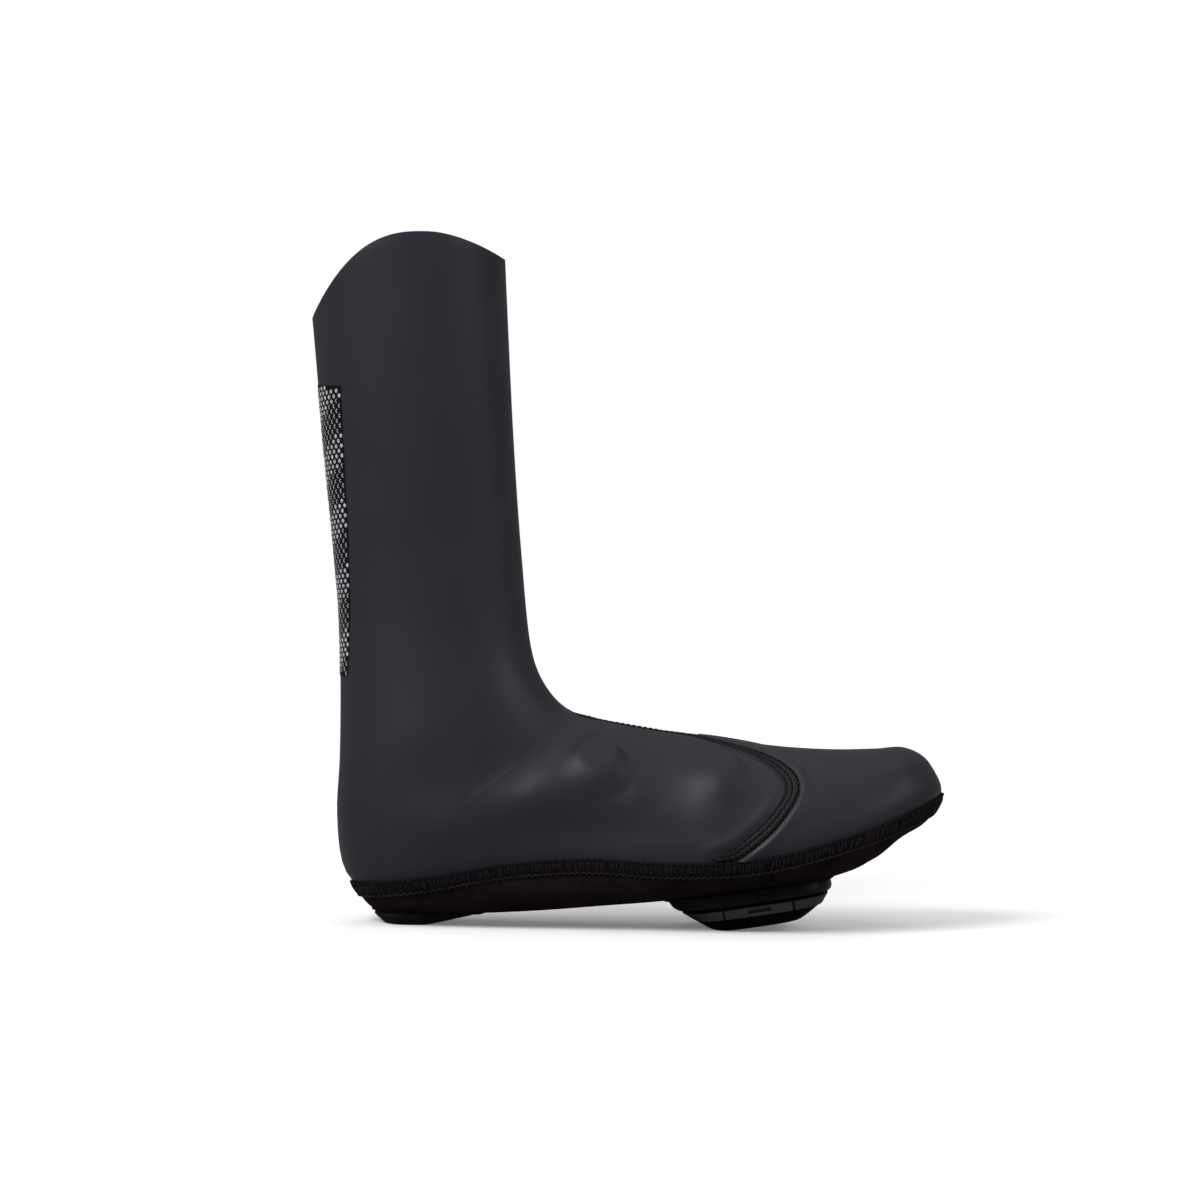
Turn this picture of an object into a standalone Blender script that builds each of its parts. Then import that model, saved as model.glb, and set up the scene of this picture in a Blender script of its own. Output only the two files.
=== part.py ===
"""Right-foot neoprene overshoe for cycling, standing on the heel pad and cleat that show under it.

The outer form is lofted through sections of the last. Each section lies in a plane that runs from a
front point (shin, throat, instep or toe top) to a back point (calf, heel or sole). X runs from heel
to toe, +Y to the medial side and +Z up from the floor. All sizes are in metres.
"""

import math
from collections import namedtuple

import bmesh
import bpy
import numpy as np
from mathutils import Vector

# Driving sizes of the last, measured outside the neoprene
LENGTH = 0.290
BALL_WIDTH = 0.104
INSTEP = 0.100

# Walls and clearances
UPPER_WALL = 0.0025
SOLE_WALL = 0.0015
INSOLE_THICKNESS = 0.002
GAP = 0.0003
SOLE_EDGE_GAP = 0.0006

# Sections of the last from collar to toe tip. Front and back x are per cent of LENGTH, z per cent of
# INSTEP, lateral, medial and centre per cent of BALL_WIDTH, and widest is per cent of the way from
# front to back. The two rounds are superellipse powers: 2 is an ellipse, more is squarer.
Section = namedtuple(
    "Section",
    "name front_x front_z back_x back_z lateral medial centre widest front_round back_round",
)
SECTIONS = (
    Section("over_collar", 25.9, 335.0, -7.1, 335.0, 41.5, 41.5, 0.0, 50.0, 2.0, 2.0),
    Section("collar", 26.9, 285.0, -5.1, 285.0, 40.2, 40.2, 0.0, 50.0, 2.0, 2.0),
    Section("calf", 28.1, 230.0, -3.2, 230.0, 37.2, 37.2, 0.0, 50.0, 2.0, 2.0),
    Section("shin", 29.7, 175.0, -1.1, 175.0, 34.2, 34.2, 0.0, 50.0, 2.0, 2.05),
    Section("over_ankle", 31.2, 136.0, 0.0, 139.0, 33.4, 33.4, 0.0, 50.0, 2.0, 2.15),
    Section("ankle", 32.3, 123.0, 0.3, 107.0, 34.6, 34.8, 0.0, 51.0, 2.05, 2.15),
    Section("throat", 33.9, 113.8, 0.3, 77.0, 35.8, 35.8, 0.0, 53.0, 2.1, 2.15),
    Section("counter", 36.0, 106.2, 0.0, 50.0, 36.4, 36.2, 0.0, 55.0, 2.15, 2.15),
    Section("heel_curve", 37.9, 102.1, 0.9, 29.5, 36.6, 36.3, 0.0, 57.0, 2.2, 2.15),
    Section("heel_seam", 39.4, 100.1, 2.6, 18.4, 36.7, 36.3, 0.0, 58.0, 2.2, 2.2),
    Section("heel_edge", 41.0, 98.6, 6.3, 6.2, 36.9, 36.3, 0.0, 59.0, 2.2, 2.5),
    Section("heel_seat", 43.0, 97.4, 13.0, 4.6, 37.2, 36.3, 0.0, 61.0, 2.2, 3.1),
    Section("heel_breast", 45.3, 96.2, 22.0, 5.2, 37.9, 36.3, 0.2, 63.0, 2.2, 3.3),
    Section("waist", 48.4, 94.6, 33.0, 7.0, 39.2, 36.8, 0.6, 65.0, 2.15, 3.2),
    Section("arch", 52.5, 92.8, 43.6, 9.8, 42.0, 38.4, 1.0, 67.0, 2.1, 3.1),
    Section("joint", 58.4, 90.8, 54.4, 13.0, 46.0, 41.8, 1.4, 69.0, 2.1, 3.1),
    Section("ball", 65.6, 88.3, 64.8, 17.6, 48.6, 46.0, 1.8, 70.0, 2.1, 3.0),
    Section("tread", 73.5, 85.8, 73.5, 21.6, 48.4, 47.0, 2.4, 70.0, 2.1, 3.0),
    Section("toe_joint", 81.8, 84.8, 81.8, 25.7, 45.0, 44.0, 3.8, 69.0, 2.15, 2.8),
    Section("toe_box", 88.4, 85.3, 88.4, 33.9, 39.0, 38.6, 5.4, 68.0, 2.2, 2.6),
    Section("toe", 93.4, 85.9, 92.8, 43.8, 31.4, 31.2, 6.6, 67.0, 2.2, 2.4),
    Section("toe_end", 96.8, 80.7, 96.5, 50.2, 22.2, 22.2, 7.4, 66.0, 2.1, 2.2),
    Section("toe_nose", 98.8, 71.0, 98.6, 57.6, 12.2, 12.2, 7.8, 60.0, 2.0, 2.0),
    Section("toe_tip", 99.6, 64.9, 99.6, 64.1, 0.0, 0.0, 8.0, 50.0, 2.0, 2.0),
)
LINE_POINTS = 361

# Height of the sole seam along the foot: x per cent of LENGTH, z per cent of INSTEP
SeamPoint = namedtuple("SeamPoint", "x z")
SOLE_SEAM = (
    SeamPoint(0.0, 17.6),
    SeamPoint(14.0, 23.3),
    SeamPoint(28.0, 31.0),
    SeamPoint(41.5, 34.2),
    SeamPoint(55.0, 33.0),
    SeamPoint(69.0, 36.0),
    SeamPoint(81.0, 44.2),
    SeamPoint(91.5, 54.2),
    SeamPoint(100.0, 64.5),
)

# The collar's edge seen from the side: it peaks over the calf and drops to the shin and to the back
COLLAR_PEAK = 0.3282
COLLAR_PEAK_X = 0.040
COLLAR_FRONT_DROP = 0.0127
COLLAR_FRONT_SPAN = 0.0363
COLLAR_FRONT_POWER = 1.8
COLLAR_BACK_DROP = 0.0422
COLLAR_BACK_SPAN = 0.055
COLLAR_BACK_POWER = 2.65
COLLAR_ZONE_LOW = 0.262

# Two closure dials of the shoe inside push the lateral wall out
Dial = namedtuple("Dial", "x z radius height")
DIALS = (
    Dial(0.1205, 0.0797, 0.0135, 0.0036),
    Dial(0.1785, 0.0795, 0.0150, 0.0030),
)
DIAL_PUSH = Vector((0.0, -0.90, 0.44))
DIAL_FLAT = 0.45
DIAL_FADE = 1.35

# Resolution of the faceted forms
SIDE_COLUMNS = 14
SOLE_COLUMNS = 7
COLLAR_ROWS = 4
SHAFT_ROWS = 14
FOOT_ROWS = 26
HEEL_EASE = 0.075
HEEL_EASE_ROWS = 5

# Sole seam band: a raised flat seam tape around the whole sole edge
BAND_ABOVE = 0.0006
BAND_BELOW = 0.0070
BAND_THICKNESS = 0.0011
BAND_ROWS = 3
BAND_STEPS = 40
BAND_GAP = 0.0005

# Toe seam: one raised flat seam from each sole edge, merging over the instep. The stations give its
# rear edge: girth is per cent of the way from the top ridge to the sole seam, x per cent of LENGTH.
SeamStation = namedtuple("SeamStation", "girth x")
TOE_SEAM = (
    SeamStation(3.2, 37.6),
    SeamStation(3.2, 45.0),
    SeamStation(3.4, 51.5),
    SeamStation(7.0, 56.3),
    SeamStation(17.5, 61.6),
    SeamStation(30.0, 68.0),
    SeamStation(44.0, 71.7),
    SeamStation(56.5, 73.1),
    SeamStation(67.5, 72.1),
    SeamStation(81.5, 68.6),
    SeamStation(97.4, 61.4),
)
TOE_SEAM_WIDTH = 0.0072
TOE_SEAM_THICKNESS = 0.0010
TOE_SEAM_GAP = 0.0005
TOE_SEAM_STEPS = 36
TOE_SEAM_COLUMNS = 2
TOE_SEAM_LOW_END = 0.974
TOE_SEAM_FORK = 0.010

# Reflective panel over the back of the shaft
PANEL_LOW = 0.117
PANEL_HIGH = 0.255
PANEL_LOW_HALF_WIDTH = 0.016
PANEL_HIGH_HALF_WIDTH = 0.029
PANEL_THICKNESS = 0.0005
PANEL_ROWS = 8
PANEL_COLUMNS = 6

# Insole: the plate that lies on the sole's inside and carries pad and cleat
INSOLE_GAP = 0.0006
INSOLE_FIRST_ROW = 3
INSOLE_LAST_ROW = 23
INSOLE_FIRST_COLUMN = 2

# Heel pad, from its top ring at the insole down to the floor
PadRing = namedtuple("PadRing", "z rear front half_width")
HEEL_PAD = (
    PadRing(0.0150, 0.0190, 0.0700, 0.0210),
    PadRing(0.0060, 0.0190, 0.0690, 0.0210),
    PadRing(0.0042, 0.0186, 0.0655, 0.0212),
    PadRing(0.0006, 0.0226, 0.0500, 0.0190),
    PadRing(0.0000, 0.0240, 0.0470, 0.0178),
)
PAD_ROUND = 3.0
RING_POINTS = 32
CUT_CLEARANCE = 0.0005

# Cleat: layers below a line that follows the forefoot, in a frame tilted with the sole
CLEAT_X = 0.196
CLEAT_SOLE_Z = 0.0191
CLEAT_TILT = math.radians(9.2)
CLEAT_ROUND = 3.4
LayerRing = namedtuple("LayerRing", "depth rear front half_width")
CLEAT_LAYERS = {
    "cleat_base": (
        LayerRing(-0.0008, -0.0395, 0.0398, 0.0310),
        LayerRing(0.0040, -0.0366, 0.0400, 0.0318),
        LayerRing(0.0055, -0.0347, 0.0394, 0.0310),
    ),
    "cleat_spacer": (
        LayerRing(0.0058, -0.0325, 0.0365, 0.0285),
        LayerRing(0.0068, -0.0315, 0.0360, 0.0282),
    ),
    "cleat_body": (
        LayerRing(0.0071, -0.0326, 0.0378, 0.0308),
        LayerRing(0.0115, -0.0269, 0.0345, 0.0306),
    ),
    "cleat_tread": (
        LayerRing(0.0118, -0.0264, 0.0332, 0.0300),
        LayerRing(0.0150, -0.0223, 0.0280, 0.0285),
        LayerRing(0.0172, -0.0190, 0.0240, 0.0262),
    ),
}
BODY_SLOTS = (-0.0130, 0.0202)
BODY_SLOT_WIDTH = 0.0014
BODY_POCKET = (-0.0015, 0.0095)
BODY_POCKET_HEIGHTS = (-0.0100, -0.0081)
BODY_CUT_DEPTH = 0.0028

# Three bolts hold the cleat: one in front, two behind
BOLTS = {
    "cleat_bolt_front": (0.0200, 0.0),
    "cleat_bolt_lateral": (-0.0070, -0.0165),
    "cleat_bolt_medial": (-0.0070, 0.0165),
}
BOLT_HEAD_RADIUS = 0.0052
BOLT_HEAD_HEIGHT = 0.0022
BOLT_SHANK_RADIUS = 0.0025
BOLT_SOCKET_RADIUS = 0.0024
BOLT_SOCKET_DEPTH = 0.0014
BOLT_HOLE_CLEARANCE = 0.0004
BOLT_SIDES = 14
HEX_SIDES = 6

# Colour, roughness and metallic value of each finish
Finish = namedtuple("Finish", "colour roughness metallic")
FINISHES = {
    "neoprene": Finish((0.024, 0.023, 0.028), 0.55, 0.0),
    "sole_fabric": Finish((0.006, 0.005, 0.006), 0.90, 0.0),
    "seam_thread": Finish((0.010, 0.009, 0.011), 0.80, 0.0),
    "reflective_print": Finish((0.30, 0.30, 0.31), 0.45, 0.0),
    "insole_board": Finish((0.020, 0.020, 0.020), 0.70, 0.0),
    "heel_rubber": Finish((0.008, 0.008, 0.008), 0.75, 0.0),
    "cleat_plastic": Finish((0.016, 0.017, 0.019), 0.40, 0.0),
    "bolt_steel": Finish((0.30, 0.30, 0.31), 0.35, 1.0),
}


def slopes(knots, values):
    """Slope at each knot from the parabola through it and its two neighbours."""
    step = np.diff(knots)[:, None]
    rise = np.diff(values, axis=0) / step
    inner = (rise[:-1] * step[1:] + rise[1:] * step[:-1]) / (step[:-1] + step[1:])
    first = 2 * rise[0] - inner[0]
    last = 2 * rise[-1] - inner[-1]
    return np.vstack([first, inner, last])


def curve_at(knots, values, tangents, at):
    """Point at one place along the smooth curve through the values."""
    i = int(np.clip(np.searchsorted(knots, at) - 1, 0, len(knots) - 2))
    step = knots[i + 1] - knots[i]
    t = (at - knots[i]) / step
    start = (1 + 2 * t) * (1 - t) ** 2 * values[i] + t * (1 - t) ** 2 * step * tangents[i]
    end = t * t * (3 - 2 * t) * values[i + 1] + t * t * (t - 1) * step * tangents[i + 1]
    return start + end


class SmoothTable:
    """A table of rows read as a smooth curve."""

    def __init__(self, knots, values):
        self.knots = np.asarray(knots, float)
        self.values = np.asarray(values, float)
        self.tangents = slopes(self.knots, self.values)
        self.end = self.knots[-1]

    def __call__(self, at):
        return curve_at(self.knots, self.values, self.tangents, at)


def section_table():
    """The sections in metres, on a scale of the mean distance between their front and back points."""
    x, z, y, share = LENGTH / 100, INSTEP / 100, BALL_WIDTH / 100, 1 / 100
    scale = np.array([x, z, x, z, y, y, y, share, 1, 1])
    values = np.array([row[1:] for row in SECTIONS]) * scale
    front_step = np.linalg.norm(np.diff(values[:, 0:2], axis=0), axis=1)
    back_step = np.linalg.norm(np.diff(values[:, 2:4], axis=0), axis=1)
    knots = np.concatenate([[0.0], np.cumsum((front_step + back_step) / 2)])
    return SmoothTable(knots, values)


LAST = section_table()
SEAM = SmoothTable(
    [point.x * LENGTH / 100 for point in SOLE_SEAM],
    [[point.z * INSTEP / 100] for point in SOLE_SEAM],
)
LATERAL, MEDIAL = -1, 1
SEAM_X = np.linspace(0.0, LENGTH, 241)
SEAM_Z = np.array([SEAM(x)[0] for x in SEAM_X])


def seam_height(x):
    return np.interp(x, SEAM_X, SEAM_Z)


def collar_height(x):
    """Height of the collar's edge over the point x of the side view."""
    if x > COLLAR_PEAK_X:
        share = (x - COLLAR_PEAK_X) / COLLAR_FRONT_SPAN
        return COLLAR_PEAK - COLLAR_FRONT_DROP * share**COLLAR_FRONT_POWER
    share = (COLLAR_PEAK_X - x) / COLLAR_BACK_SPAN
    return COLLAR_PEAK - COLLAR_BACK_DROP * share**COLLAR_BACK_POWER


def side_line(row, side):
    """Fine line along one side of a section, from its front point to its back point."""
    (front_x, front_z, back_x, back_z, lateral, medial, centre, widest, front_round, back_round) = LAST(row)
    turn = np.linspace(0.0, math.pi, LINE_POINTS)
    cosine, sine = np.cos(turn), np.clip(np.sin(turn), 0.0, 1.0)
    in_front = cosine >= 0
    power = np.where(in_front, 2 / front_round, 2 / back_round)
    reach = np.abs(cosine) ** power
    along = np.where(in_front, widest * (1 - reach), widest + (1 - widest) * reach)
    out = sine**power * (lateral if side == LATERAL else medial)
    return np.column_stack(
        [
            front_x + (back_x - front_x) * along,
            centre + side * out,
            front_z + (back_z - front_z) * along,
        ]
    )


def swell(points, side):
    """The points pushed out over the dials of the shoe inside."""
    if side != LATERAL:
        return points
    moved = points.copy()
    for dial in DIALS:
        away = np.hypot(points[:, 0] - dial.x, points[:, 2] - dial.z) / dial.radius
        t = np.clip((DIAL_FADE - away) / (DIAL_FADE - DIAL_FLAT), 0.0, 1.0)
        moved += np.outer(dial.height * t * t * (3 - 2 * t), DIAL_PUSH)
    return moved


def lengths_along(line):
    return np.concatenate([[0.0], np.cumsum(np.linalg.norm(np.diff(line, axis=0), axis=1))])


def at_shares(line, shares):
    """Points at shares of the length of a fine line."""
    length = lengths_along(line)
    wanted = np.asarray(shares) * length[-1]
    return np.column_stack([np.interp(wanted, length, line[:, k]) for k in range(3)])


def split_at_height(line, height_of):
    """The parts of a fine line above and below a height that depends on x; they share their end."""
    over = line[:, 2] - height_of(line[:, 0])
    below = np.nonzero(over < 0)[0]
    if len(below) == 0:
        return line, line[-1:]
    i = int(below[0])
    if i == 0:
        return line[:1], line
    t = over[i - 1] / (over[i - 1] - over[i])
    cut = line[i - 1] + t * (line[i] - line[i - 1])
    return np.vstack([line[:i], cut]), np.vstack([cut, line[i:]])


def solve(function, low, high, steps=40):
    """Place between low and high where a falling function passes zero."""
    for _ in range(steps):
        middle = (low + high) / 2
        if function(middle) > 0:
            low = middle
        else:
            high = middle
    return (low + high) / 2


def back_over(row, height_of):
    """How far a section's back point lies above a height that depends on x."""
    values = LAST(row)
    return values[3] - height_of(values[2])


def front_over(row, height_of):
    """How far a section's front point lies above a height that depends on x."""
    values = LAST(row)
    return values[1] - height_of(values[0])


def row_at_front_height(height):
    """Section of the shaft whose front point has this height."""
    return solve(lambda row: LAST(row)[1] - height, 0.0, LAST.end)


HEEL_ROW = solve(lambda row: back_over(row, seam_height), 0.0, 0.6 * LAST.end)
COLLAR_ROW = row_at_front_height(COLLAR_ZONE_LOW)


def even_rows(start, end, count, measure):
    """Rows from start to end at even steps of a length that the measure gives between two rows."""
    share = (1 - np.cos(np.linspace(0.0, math.pi, 241))) / 2
    rows = start + (end - start) * share
    length = np.concatenate([[0.0], np.cumsum([measure(a, b) for a, b in zip(rows[:-1], rows[1:])])])
    return np.interp(np.linspace(0.0, length[-1], count + 1), length, rows)


def shaft_measure(a, b):
    first, second = LAST(a), LAST(b)
    front = np.linalg.norm(first[0:2] - second[0:2])
    back = np.linalg.norm(first[2:4] - second[2:4])
    return (front + back) / 2


def foot_measure(a, b):
    first, second = LAST(a), LAST(b)
    front = np.linalg.norm(first[0:2] - second[0:2])
    seams = [split_at_height(side_line(row, LATERAL), seam_height)[1][0] for row in (a, b)]
    return (front + np.linalg.norm(seams[0] - seams[1])) / 2


def upper_point(row, side, girth):
    """Point of the upper at a share of the way from a section's front point to the sole seam."""
    upper = split_at_height(side_line(row, side), seam_height)[0]
    return swell(at_shares(upper, [girth]), side)[0]


def collar_rows(side, girth):
    """Rows from the collar's edge down to the level part of the shaft, for one column."""

    def over_edge(row):
        point = at_shares(side_line(row, side), [girth])[0]
        return point[2] - collar_height(point[0])

    edge = solve(over_edge, 0.0, COLLAR_ROW)
    return [edge + (COLLAR_ROW - edge) * k / COLLAR_ROWS for k in range(COLLAR_ROWS)]


class LastForm:
    """Vertices and faces of the whole outer form: collar, shaft, foot and the underside."""

    def __init__(self):
        self.points = []
        self.upper_faces = []
        self.sole_faces = []
        self.sole_places = []
        self.seam_points = set()
        self.build()
        self.normals = vertex_normals(self.points, self.upper_faces + self.sole_faces)

    def add(self, point):
        self.points.append(point)
        return len(self.points) - 1

    def ring(self, lines):
        """Ids of a closed row from its two side lines, which share their front and back points."""
        lateral, medial = lines
        front = self.add((lateral[0] + medial[0]) / 2)
        back = self.add((lateral[-1] + medial[-1]) / 2)
        sides = [[self.add(p) for p in line[1:-1]] for line in lines]
        return [sides[0][::-1] + [front] + sides[1], back]

    def build(self):
        shares = np.linspace(0.0, 1.0, SIDE_COLUMNS + 1)
        rows = [self.collar_ring(k, shares) for k in range(COLLAR_ROWS)]
        for k, row in enumerate(even_rows(COLLAR_ROW, HEEL_ROW, SHAFT_ROWS, shaft_measure)):
            ease = HEEL_EASE * max(0.0, 1 - (SHAFT_ROWS - k) / HEEL_EASE_ROWS)
            eased = np.append(shares[:-1] * (1 - ease), 1.0)
            rows.append(self.ring([at_shares(side_line(row, side), eased) for side in (LATERAL, MEDIAL)]))
        for above, below in zip(rows[:-1], rows[1:]):
            self.join([above[1], *above[0], above[1]], [below[1], *below[0], below[1]], self.upper_faces)
        heel_back = rows[-1][1]
        self.seam_points.add(heel_back)
        upper_above = [heel_back, *rows[-1][0], heel_back]
        sole_above = [heel_back] * (2 * SOLE_COLUMNS + 1)
        foot_rows = even_rows(HEEL_ROW, LAST.end, FOOT_ROWS, foot_measure)[1:-1]
        for number, row in enumerate(foot_rows):
            upper, sole = self.foot_row(row, shares)
            self.join(upper_above, upper, self.upper_faces)
            self.join_sole(sole_above, sole, number)
            upper_above, sole_above = upper, sole
        tip = self.add((LAST.values[-1][[0, 6, 1]] + LAST.values[-1][[2, 6, 3]]) / 2)
        self.seam_points.add(tip)
        self.join(upper_above, [tip] * len(upper_above), self.upper_faces)
        self.join_sole(sole_above, [tip] * len(sole_above), len(foot_rows))

    def collar_ring(self, k, shares):
        lines = []
        for side in (LATERAL, MEDIAL):
            rows = [collar_rows(side, girth)[k] for girth in shares]
            lines.append(np.array([at_shares(side_line(r, side), [g])[0] for r, g in zip(rows, shares)]))
        return self.ring(lines)

    def foot_row(self, row, shares):
        """Ids over the top from lateral to medial seam, and under the sole the same way."""
        upper, sole = [], []
        for side in (LATERAL, MEDIAL):
            over, under = split_at_height(side_line(row, side), seam_height)
            upper.append(swell(at_shares(over, shares), side))
            sole.append(at_shares(under, np.linspace(0.0, 1.0, SOLE_COLUMNS + 1)))
        front = self.add((upper[0][0] + upper[1][0]) / 2)
        back = self.add((sole[0][-1] + sole[1][-1]) / 2)
        over_ids = [[self.add(p) for p in line[1:]] for line in upper]
        under_ids = [[self.add(p) for p in line[1:-1]] for line in sole]
        self.seam_points.update((over_ids[0][-1], over_ids[1][-1]))
        over_row = over_ids[0][::-1] + [front] + over_ids[1]
        under_row = [over_ids[0][-1], *under_ids[0], back, *under_ids[1][::-1], over_ids[1][-1]]
        return over_row, under_row

    def join(self, above, below, faces):
        for k in range(len(above) - 1):
            face = (above[k], below[k], below[k + 1], above[k + 1])
            faces.append(tuple(dict.fromkeys(face)))

    def join_sole(self, above, below, number):
        for k in range(len(above) - 1):
            face = (above[k + 1], below[k + 1], below[k], above[k])
            self.sole_faces.append(tuple(dict.fromkeys(face)))
            self.sole_places.append((number, k))


def vertex_normals(points, faces):
    """Outward vertex normals of an open form."""
    form = bmesh.new()
    verts = [form.verts.new(p) for p in points]
    for face in faces:
        form.faces.new([verts[i] for i in face])
    form.normal_update()
    normals = np.array([v.normal for v in verts])
    form.free()
    return normals


def grid_faces(rows, columns, wrap=False):
    """Faces of a grid of points listed row by row."""
    faces = []
    for i in range(rows - (0 if wrap else 1)):
        here, after = i * columns, (i + 1) % rows * columns
        for j in range(columns - 1):
            faces.append((here + j, after + j, after + j + 1, here + j + 1))
    return faces


def shell(name, points, normals, faces, low, high, finish):
    """Closed solid between two offsets of a form: the outer faces, the inner faces and the rims."""
    used = sorted({i for face in faces for i in face})
    index = {old: new for new, old in enumerate(used)}
    base, out = np.asarray(points)[used], np.asarray(normals)[used]
    count = len(used)
    edges = {}
    solid = []
    for face in faces:
        outer = [index[i] for i in face]
        solid.append(outer)
        solid.append([i + count for i in reversed(outer)])
        for a, b in zip(outer, outer[1:] + outer[:1]):
            edges[(a, b)] = True
    for a, b in edges:
        if (b, a) not in edges:
            solid.append([b, a, a + count, b + count])
    return mesh_object(name, np.vstack([base + out * high, base + out * low]), solid, finish)


def mesh_object(name, points, faces, finish=None):
    mesh = bpy.data.meshes.new(name)
    mesh.from_pydata([tuple(p) for p in points], [], faces)
    mesh.shade_smooth()
    mesh.set_sharp_from_angle(angle=math.radians(40))
    thing = bpy.data.objects.new(name, mesh)
    bpy.context.scene.collection.objects.link(thing)
    if finish:
        mesh.materials.append(material(finish))
    else:
        thing.hide_render = True
        thing.display_type = "WIRE"
    return thing


def material(name):
    found = bpy.data.materials.get(name)
    if found:
        return found
    made = bpy.data.materials.new(name)
    made.use_nodes = True
    finish = FINISHES[name]
    shader = made.node_tree.nodes["Principled BSDF"]
    shader.inputs["Base Color"].default_value = (*finish.colour, 1.0)
    shader.inputs["Roughness"].default_value = finish.roughness
    shader.inputs["Metallic"].default_value = finish.metallic
    return made


def cut(thing, cutter):
    change = thing.modifiers.new("cut_" + cutter.name, "BOOLEAN")
    change.operation = "DIFFERENCE"
    change.object = cutter


def loft(name, rings, finish=None):
    """Closed solid through rings of equal point count, listed from the top down."""
    count = len(rings[0])
    faces = [[i for i in range(count)], [(len(rings) - 1) * count + i for i in reversed(range(count))]]
    for k in range(len(rings) - 1):
        for i in range(count):
            j = (i + 1) % count
            faces.append([k * count + j, k * count + i, (k + 1) * count + i, (k + 1) * count + j])
    return mesh_object(name, np.vstack(rings), faces, finish)


def oval(rear, front, half_width, z, power, grow=0.0):
    """Superellipse ring in a level plane, counter-clockwise from the front."""
    turn = np.linspace(0.0, 2 * math.pi, RING_POINTS, endpoint=False)
    cosine, sine = np.cos(turn), np.sin(turn)
    x = np.sign(cosine) * np.abs(cosine) ** (2 / power) * ((front - rear) / 2 + grow)
    y = np.sign(sine) * np.abs(sine) ** (2 / power) * (half_width + grow)
    return np.column_stack([(front + rear) / 2 + x, y, np.full(RING_POINTS, z)])


def circle(x, y, z, radius, sides):
    turn = np.linspace(0.0, 2 * math.pi, sides, endpoint=False)
    return np.column_stack([x + radius * np.cos(turn), y + radius * np.sin(turn), np.full(sides, z)])


def block(name, low, high):
    """Box-shaped cutter between two corners."""
    (x0, y0, z0), (x1, y1, z1) = low, high
    top = np.array([(x0, y0, z1), (x1, y0, z1), (x1, y1, z1), (x0, y1, z1)])
    bottom = top.copy()
    bottom[:, 2] = z0
    return loft(name, [top, bottom])


def build_upper(form):
    shell("upper", form.points, form.normals, form.upper_faces, -UPPER_WALL, 0.0, "neoprene")


def build_sole(form):
    """Fabric sole: the underside of the form, held a gap away from the upper's edge."""
    points = np.array(form.points)
    inward = {}
    for face in form.sole_faces:
        for i in face:
            if i in form.seam_points:
                inward.setdefault(i, set()).update(set(face) - form.seam_points)
    for i, neighbours in inward.items():
        way = points[sorted(neighbours)].mean(axis=0) - points[i]
        points[i] += way / np.linalg.norm(way) * SOLE_EDGE_GAP
    sole = shell("sole_panel", points, form.normals, form.sole_faces, -SOLE_WALL, 0.0, "sole_fabric")
    cut(sole, loft("heel_opening", opening_rings(HEEL_PAD, PAD_ROUND, 0.02, -0.01)))
    opening = loft("cleat_opening", opening_rings(CLEAT_LAYERS["cleat_base"], CLEAT_ROUND, 0.012, -0.012))
    opening.parent = bpy.data.objects["cleat_frame"]
    cut(sole, opening)
    return sole


def opening_rings(rings, power, top, bottom):
    """Outline a clearance larger than all the rings of a piece, at two heights."""
    rear, front = min(ring.rear for ring in rings), max(ring.front for ring in rings)
    half_width = max(ring.half_width for ring in rings)
    return [oval(rear, front, half_width, z, power, CUT_CLEARANCE) for z in (top, bottom)]


def build_insole(form):
    """Plate on the inside of the sole, from the same facets."""
    columns = range(INSOLE_FIRST_COLUMN, 2 * SOLE_COLUMNS - INSOLE_FIRST_COLUMN)
    rows = range(INSOLE_FIRST_ROW, INSOLE_LAST_ROW)
    faces = [
        face
        for face, (row, column) in zip(form.sole_faces, form.sole_places)
        if row in rows and column in columns
    ]
    under = -(SOLE_WALL + INSOLE_GAP)
    shell("insole", form.points, form.normals, faces, under - INSOLE_THICKNESS, under, "insole_board")


def level_line(height_of, side, steps):
    """Points where the form's surface meets a height that depends on x, from heel back to toe tip."""
    start = solve(lambda row: back_over(row, height_of), 0.0, 0.6 * LAST.end)
    end = solve(
        lambda row: min(front_over(row, height_of), -back_over(row, height_of)), 0.7 * LAST.end, LAST.end
    )
    share = (1 - np.cos(np.linspace(0.0, math.pi, 181))) / 2
    rows = start + (end - start) * share
    line = np.array([split_at_height(side_line(row, side), height_of)[1][0] for row in rows])
    return at_shares(line, np.linspace(0.0, 1.0, steps + 1))


def build_sole_band():
    """Raised seam tape around the sole edge, as level loops one under the other."""
    drops = np.linspace(BAND_ABOVE, -BAND_BELOW, BAND_ROWS)
    loops = []
    for drop in drops:
        lateral, medial = (
            level_line(lambda x: seam_height(x) + drop, side, BAND_STEPS) for side in (LATERAL, MEDIAL)
        )
        loops.append(np.vstack([lateral, medial[-2:0:-1]]))
    points = np.stack(loops, axis=1).reshape(-1, 3)
    faces = [face[::-1] for face in grid_faces(len(loops[0]), BAND_ROWS, wrap=True)]
    normals = vertex_normals(points, faces)
    shell("sole_seam", points, normals, faces, BAND_GAP, BAND_GAP + BAND_THICKNESS, "seam_thread")


def surface_frame(row, side, girth):
    """Point, row direction, girth direction and outward normal of the upper."""
    row_step, girth_step = 0.0008, 0.008
    low, high = max(girth - girth_step, 0.0), min(girth + girth_step, 1.0)
    before, after = upper_point(row - row_step, side, girth), upper_point(row + row_step, side, girth)
    along = (after - before) / (2 * row_step)
    across = (upper_point(row, side, high) - upper_point(row, side, low)) / (high - low)
    normal = np.cross(along, across) * side
    return upper_point(row, side, girth), along, across, normal / np.linalg.norm(normal)


def row_at_x(x, side, girth):
    return solve(lambda row: x - upper_point(row, side, girth)[0], 0.3 * LAST.end, LAST.end)


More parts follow.
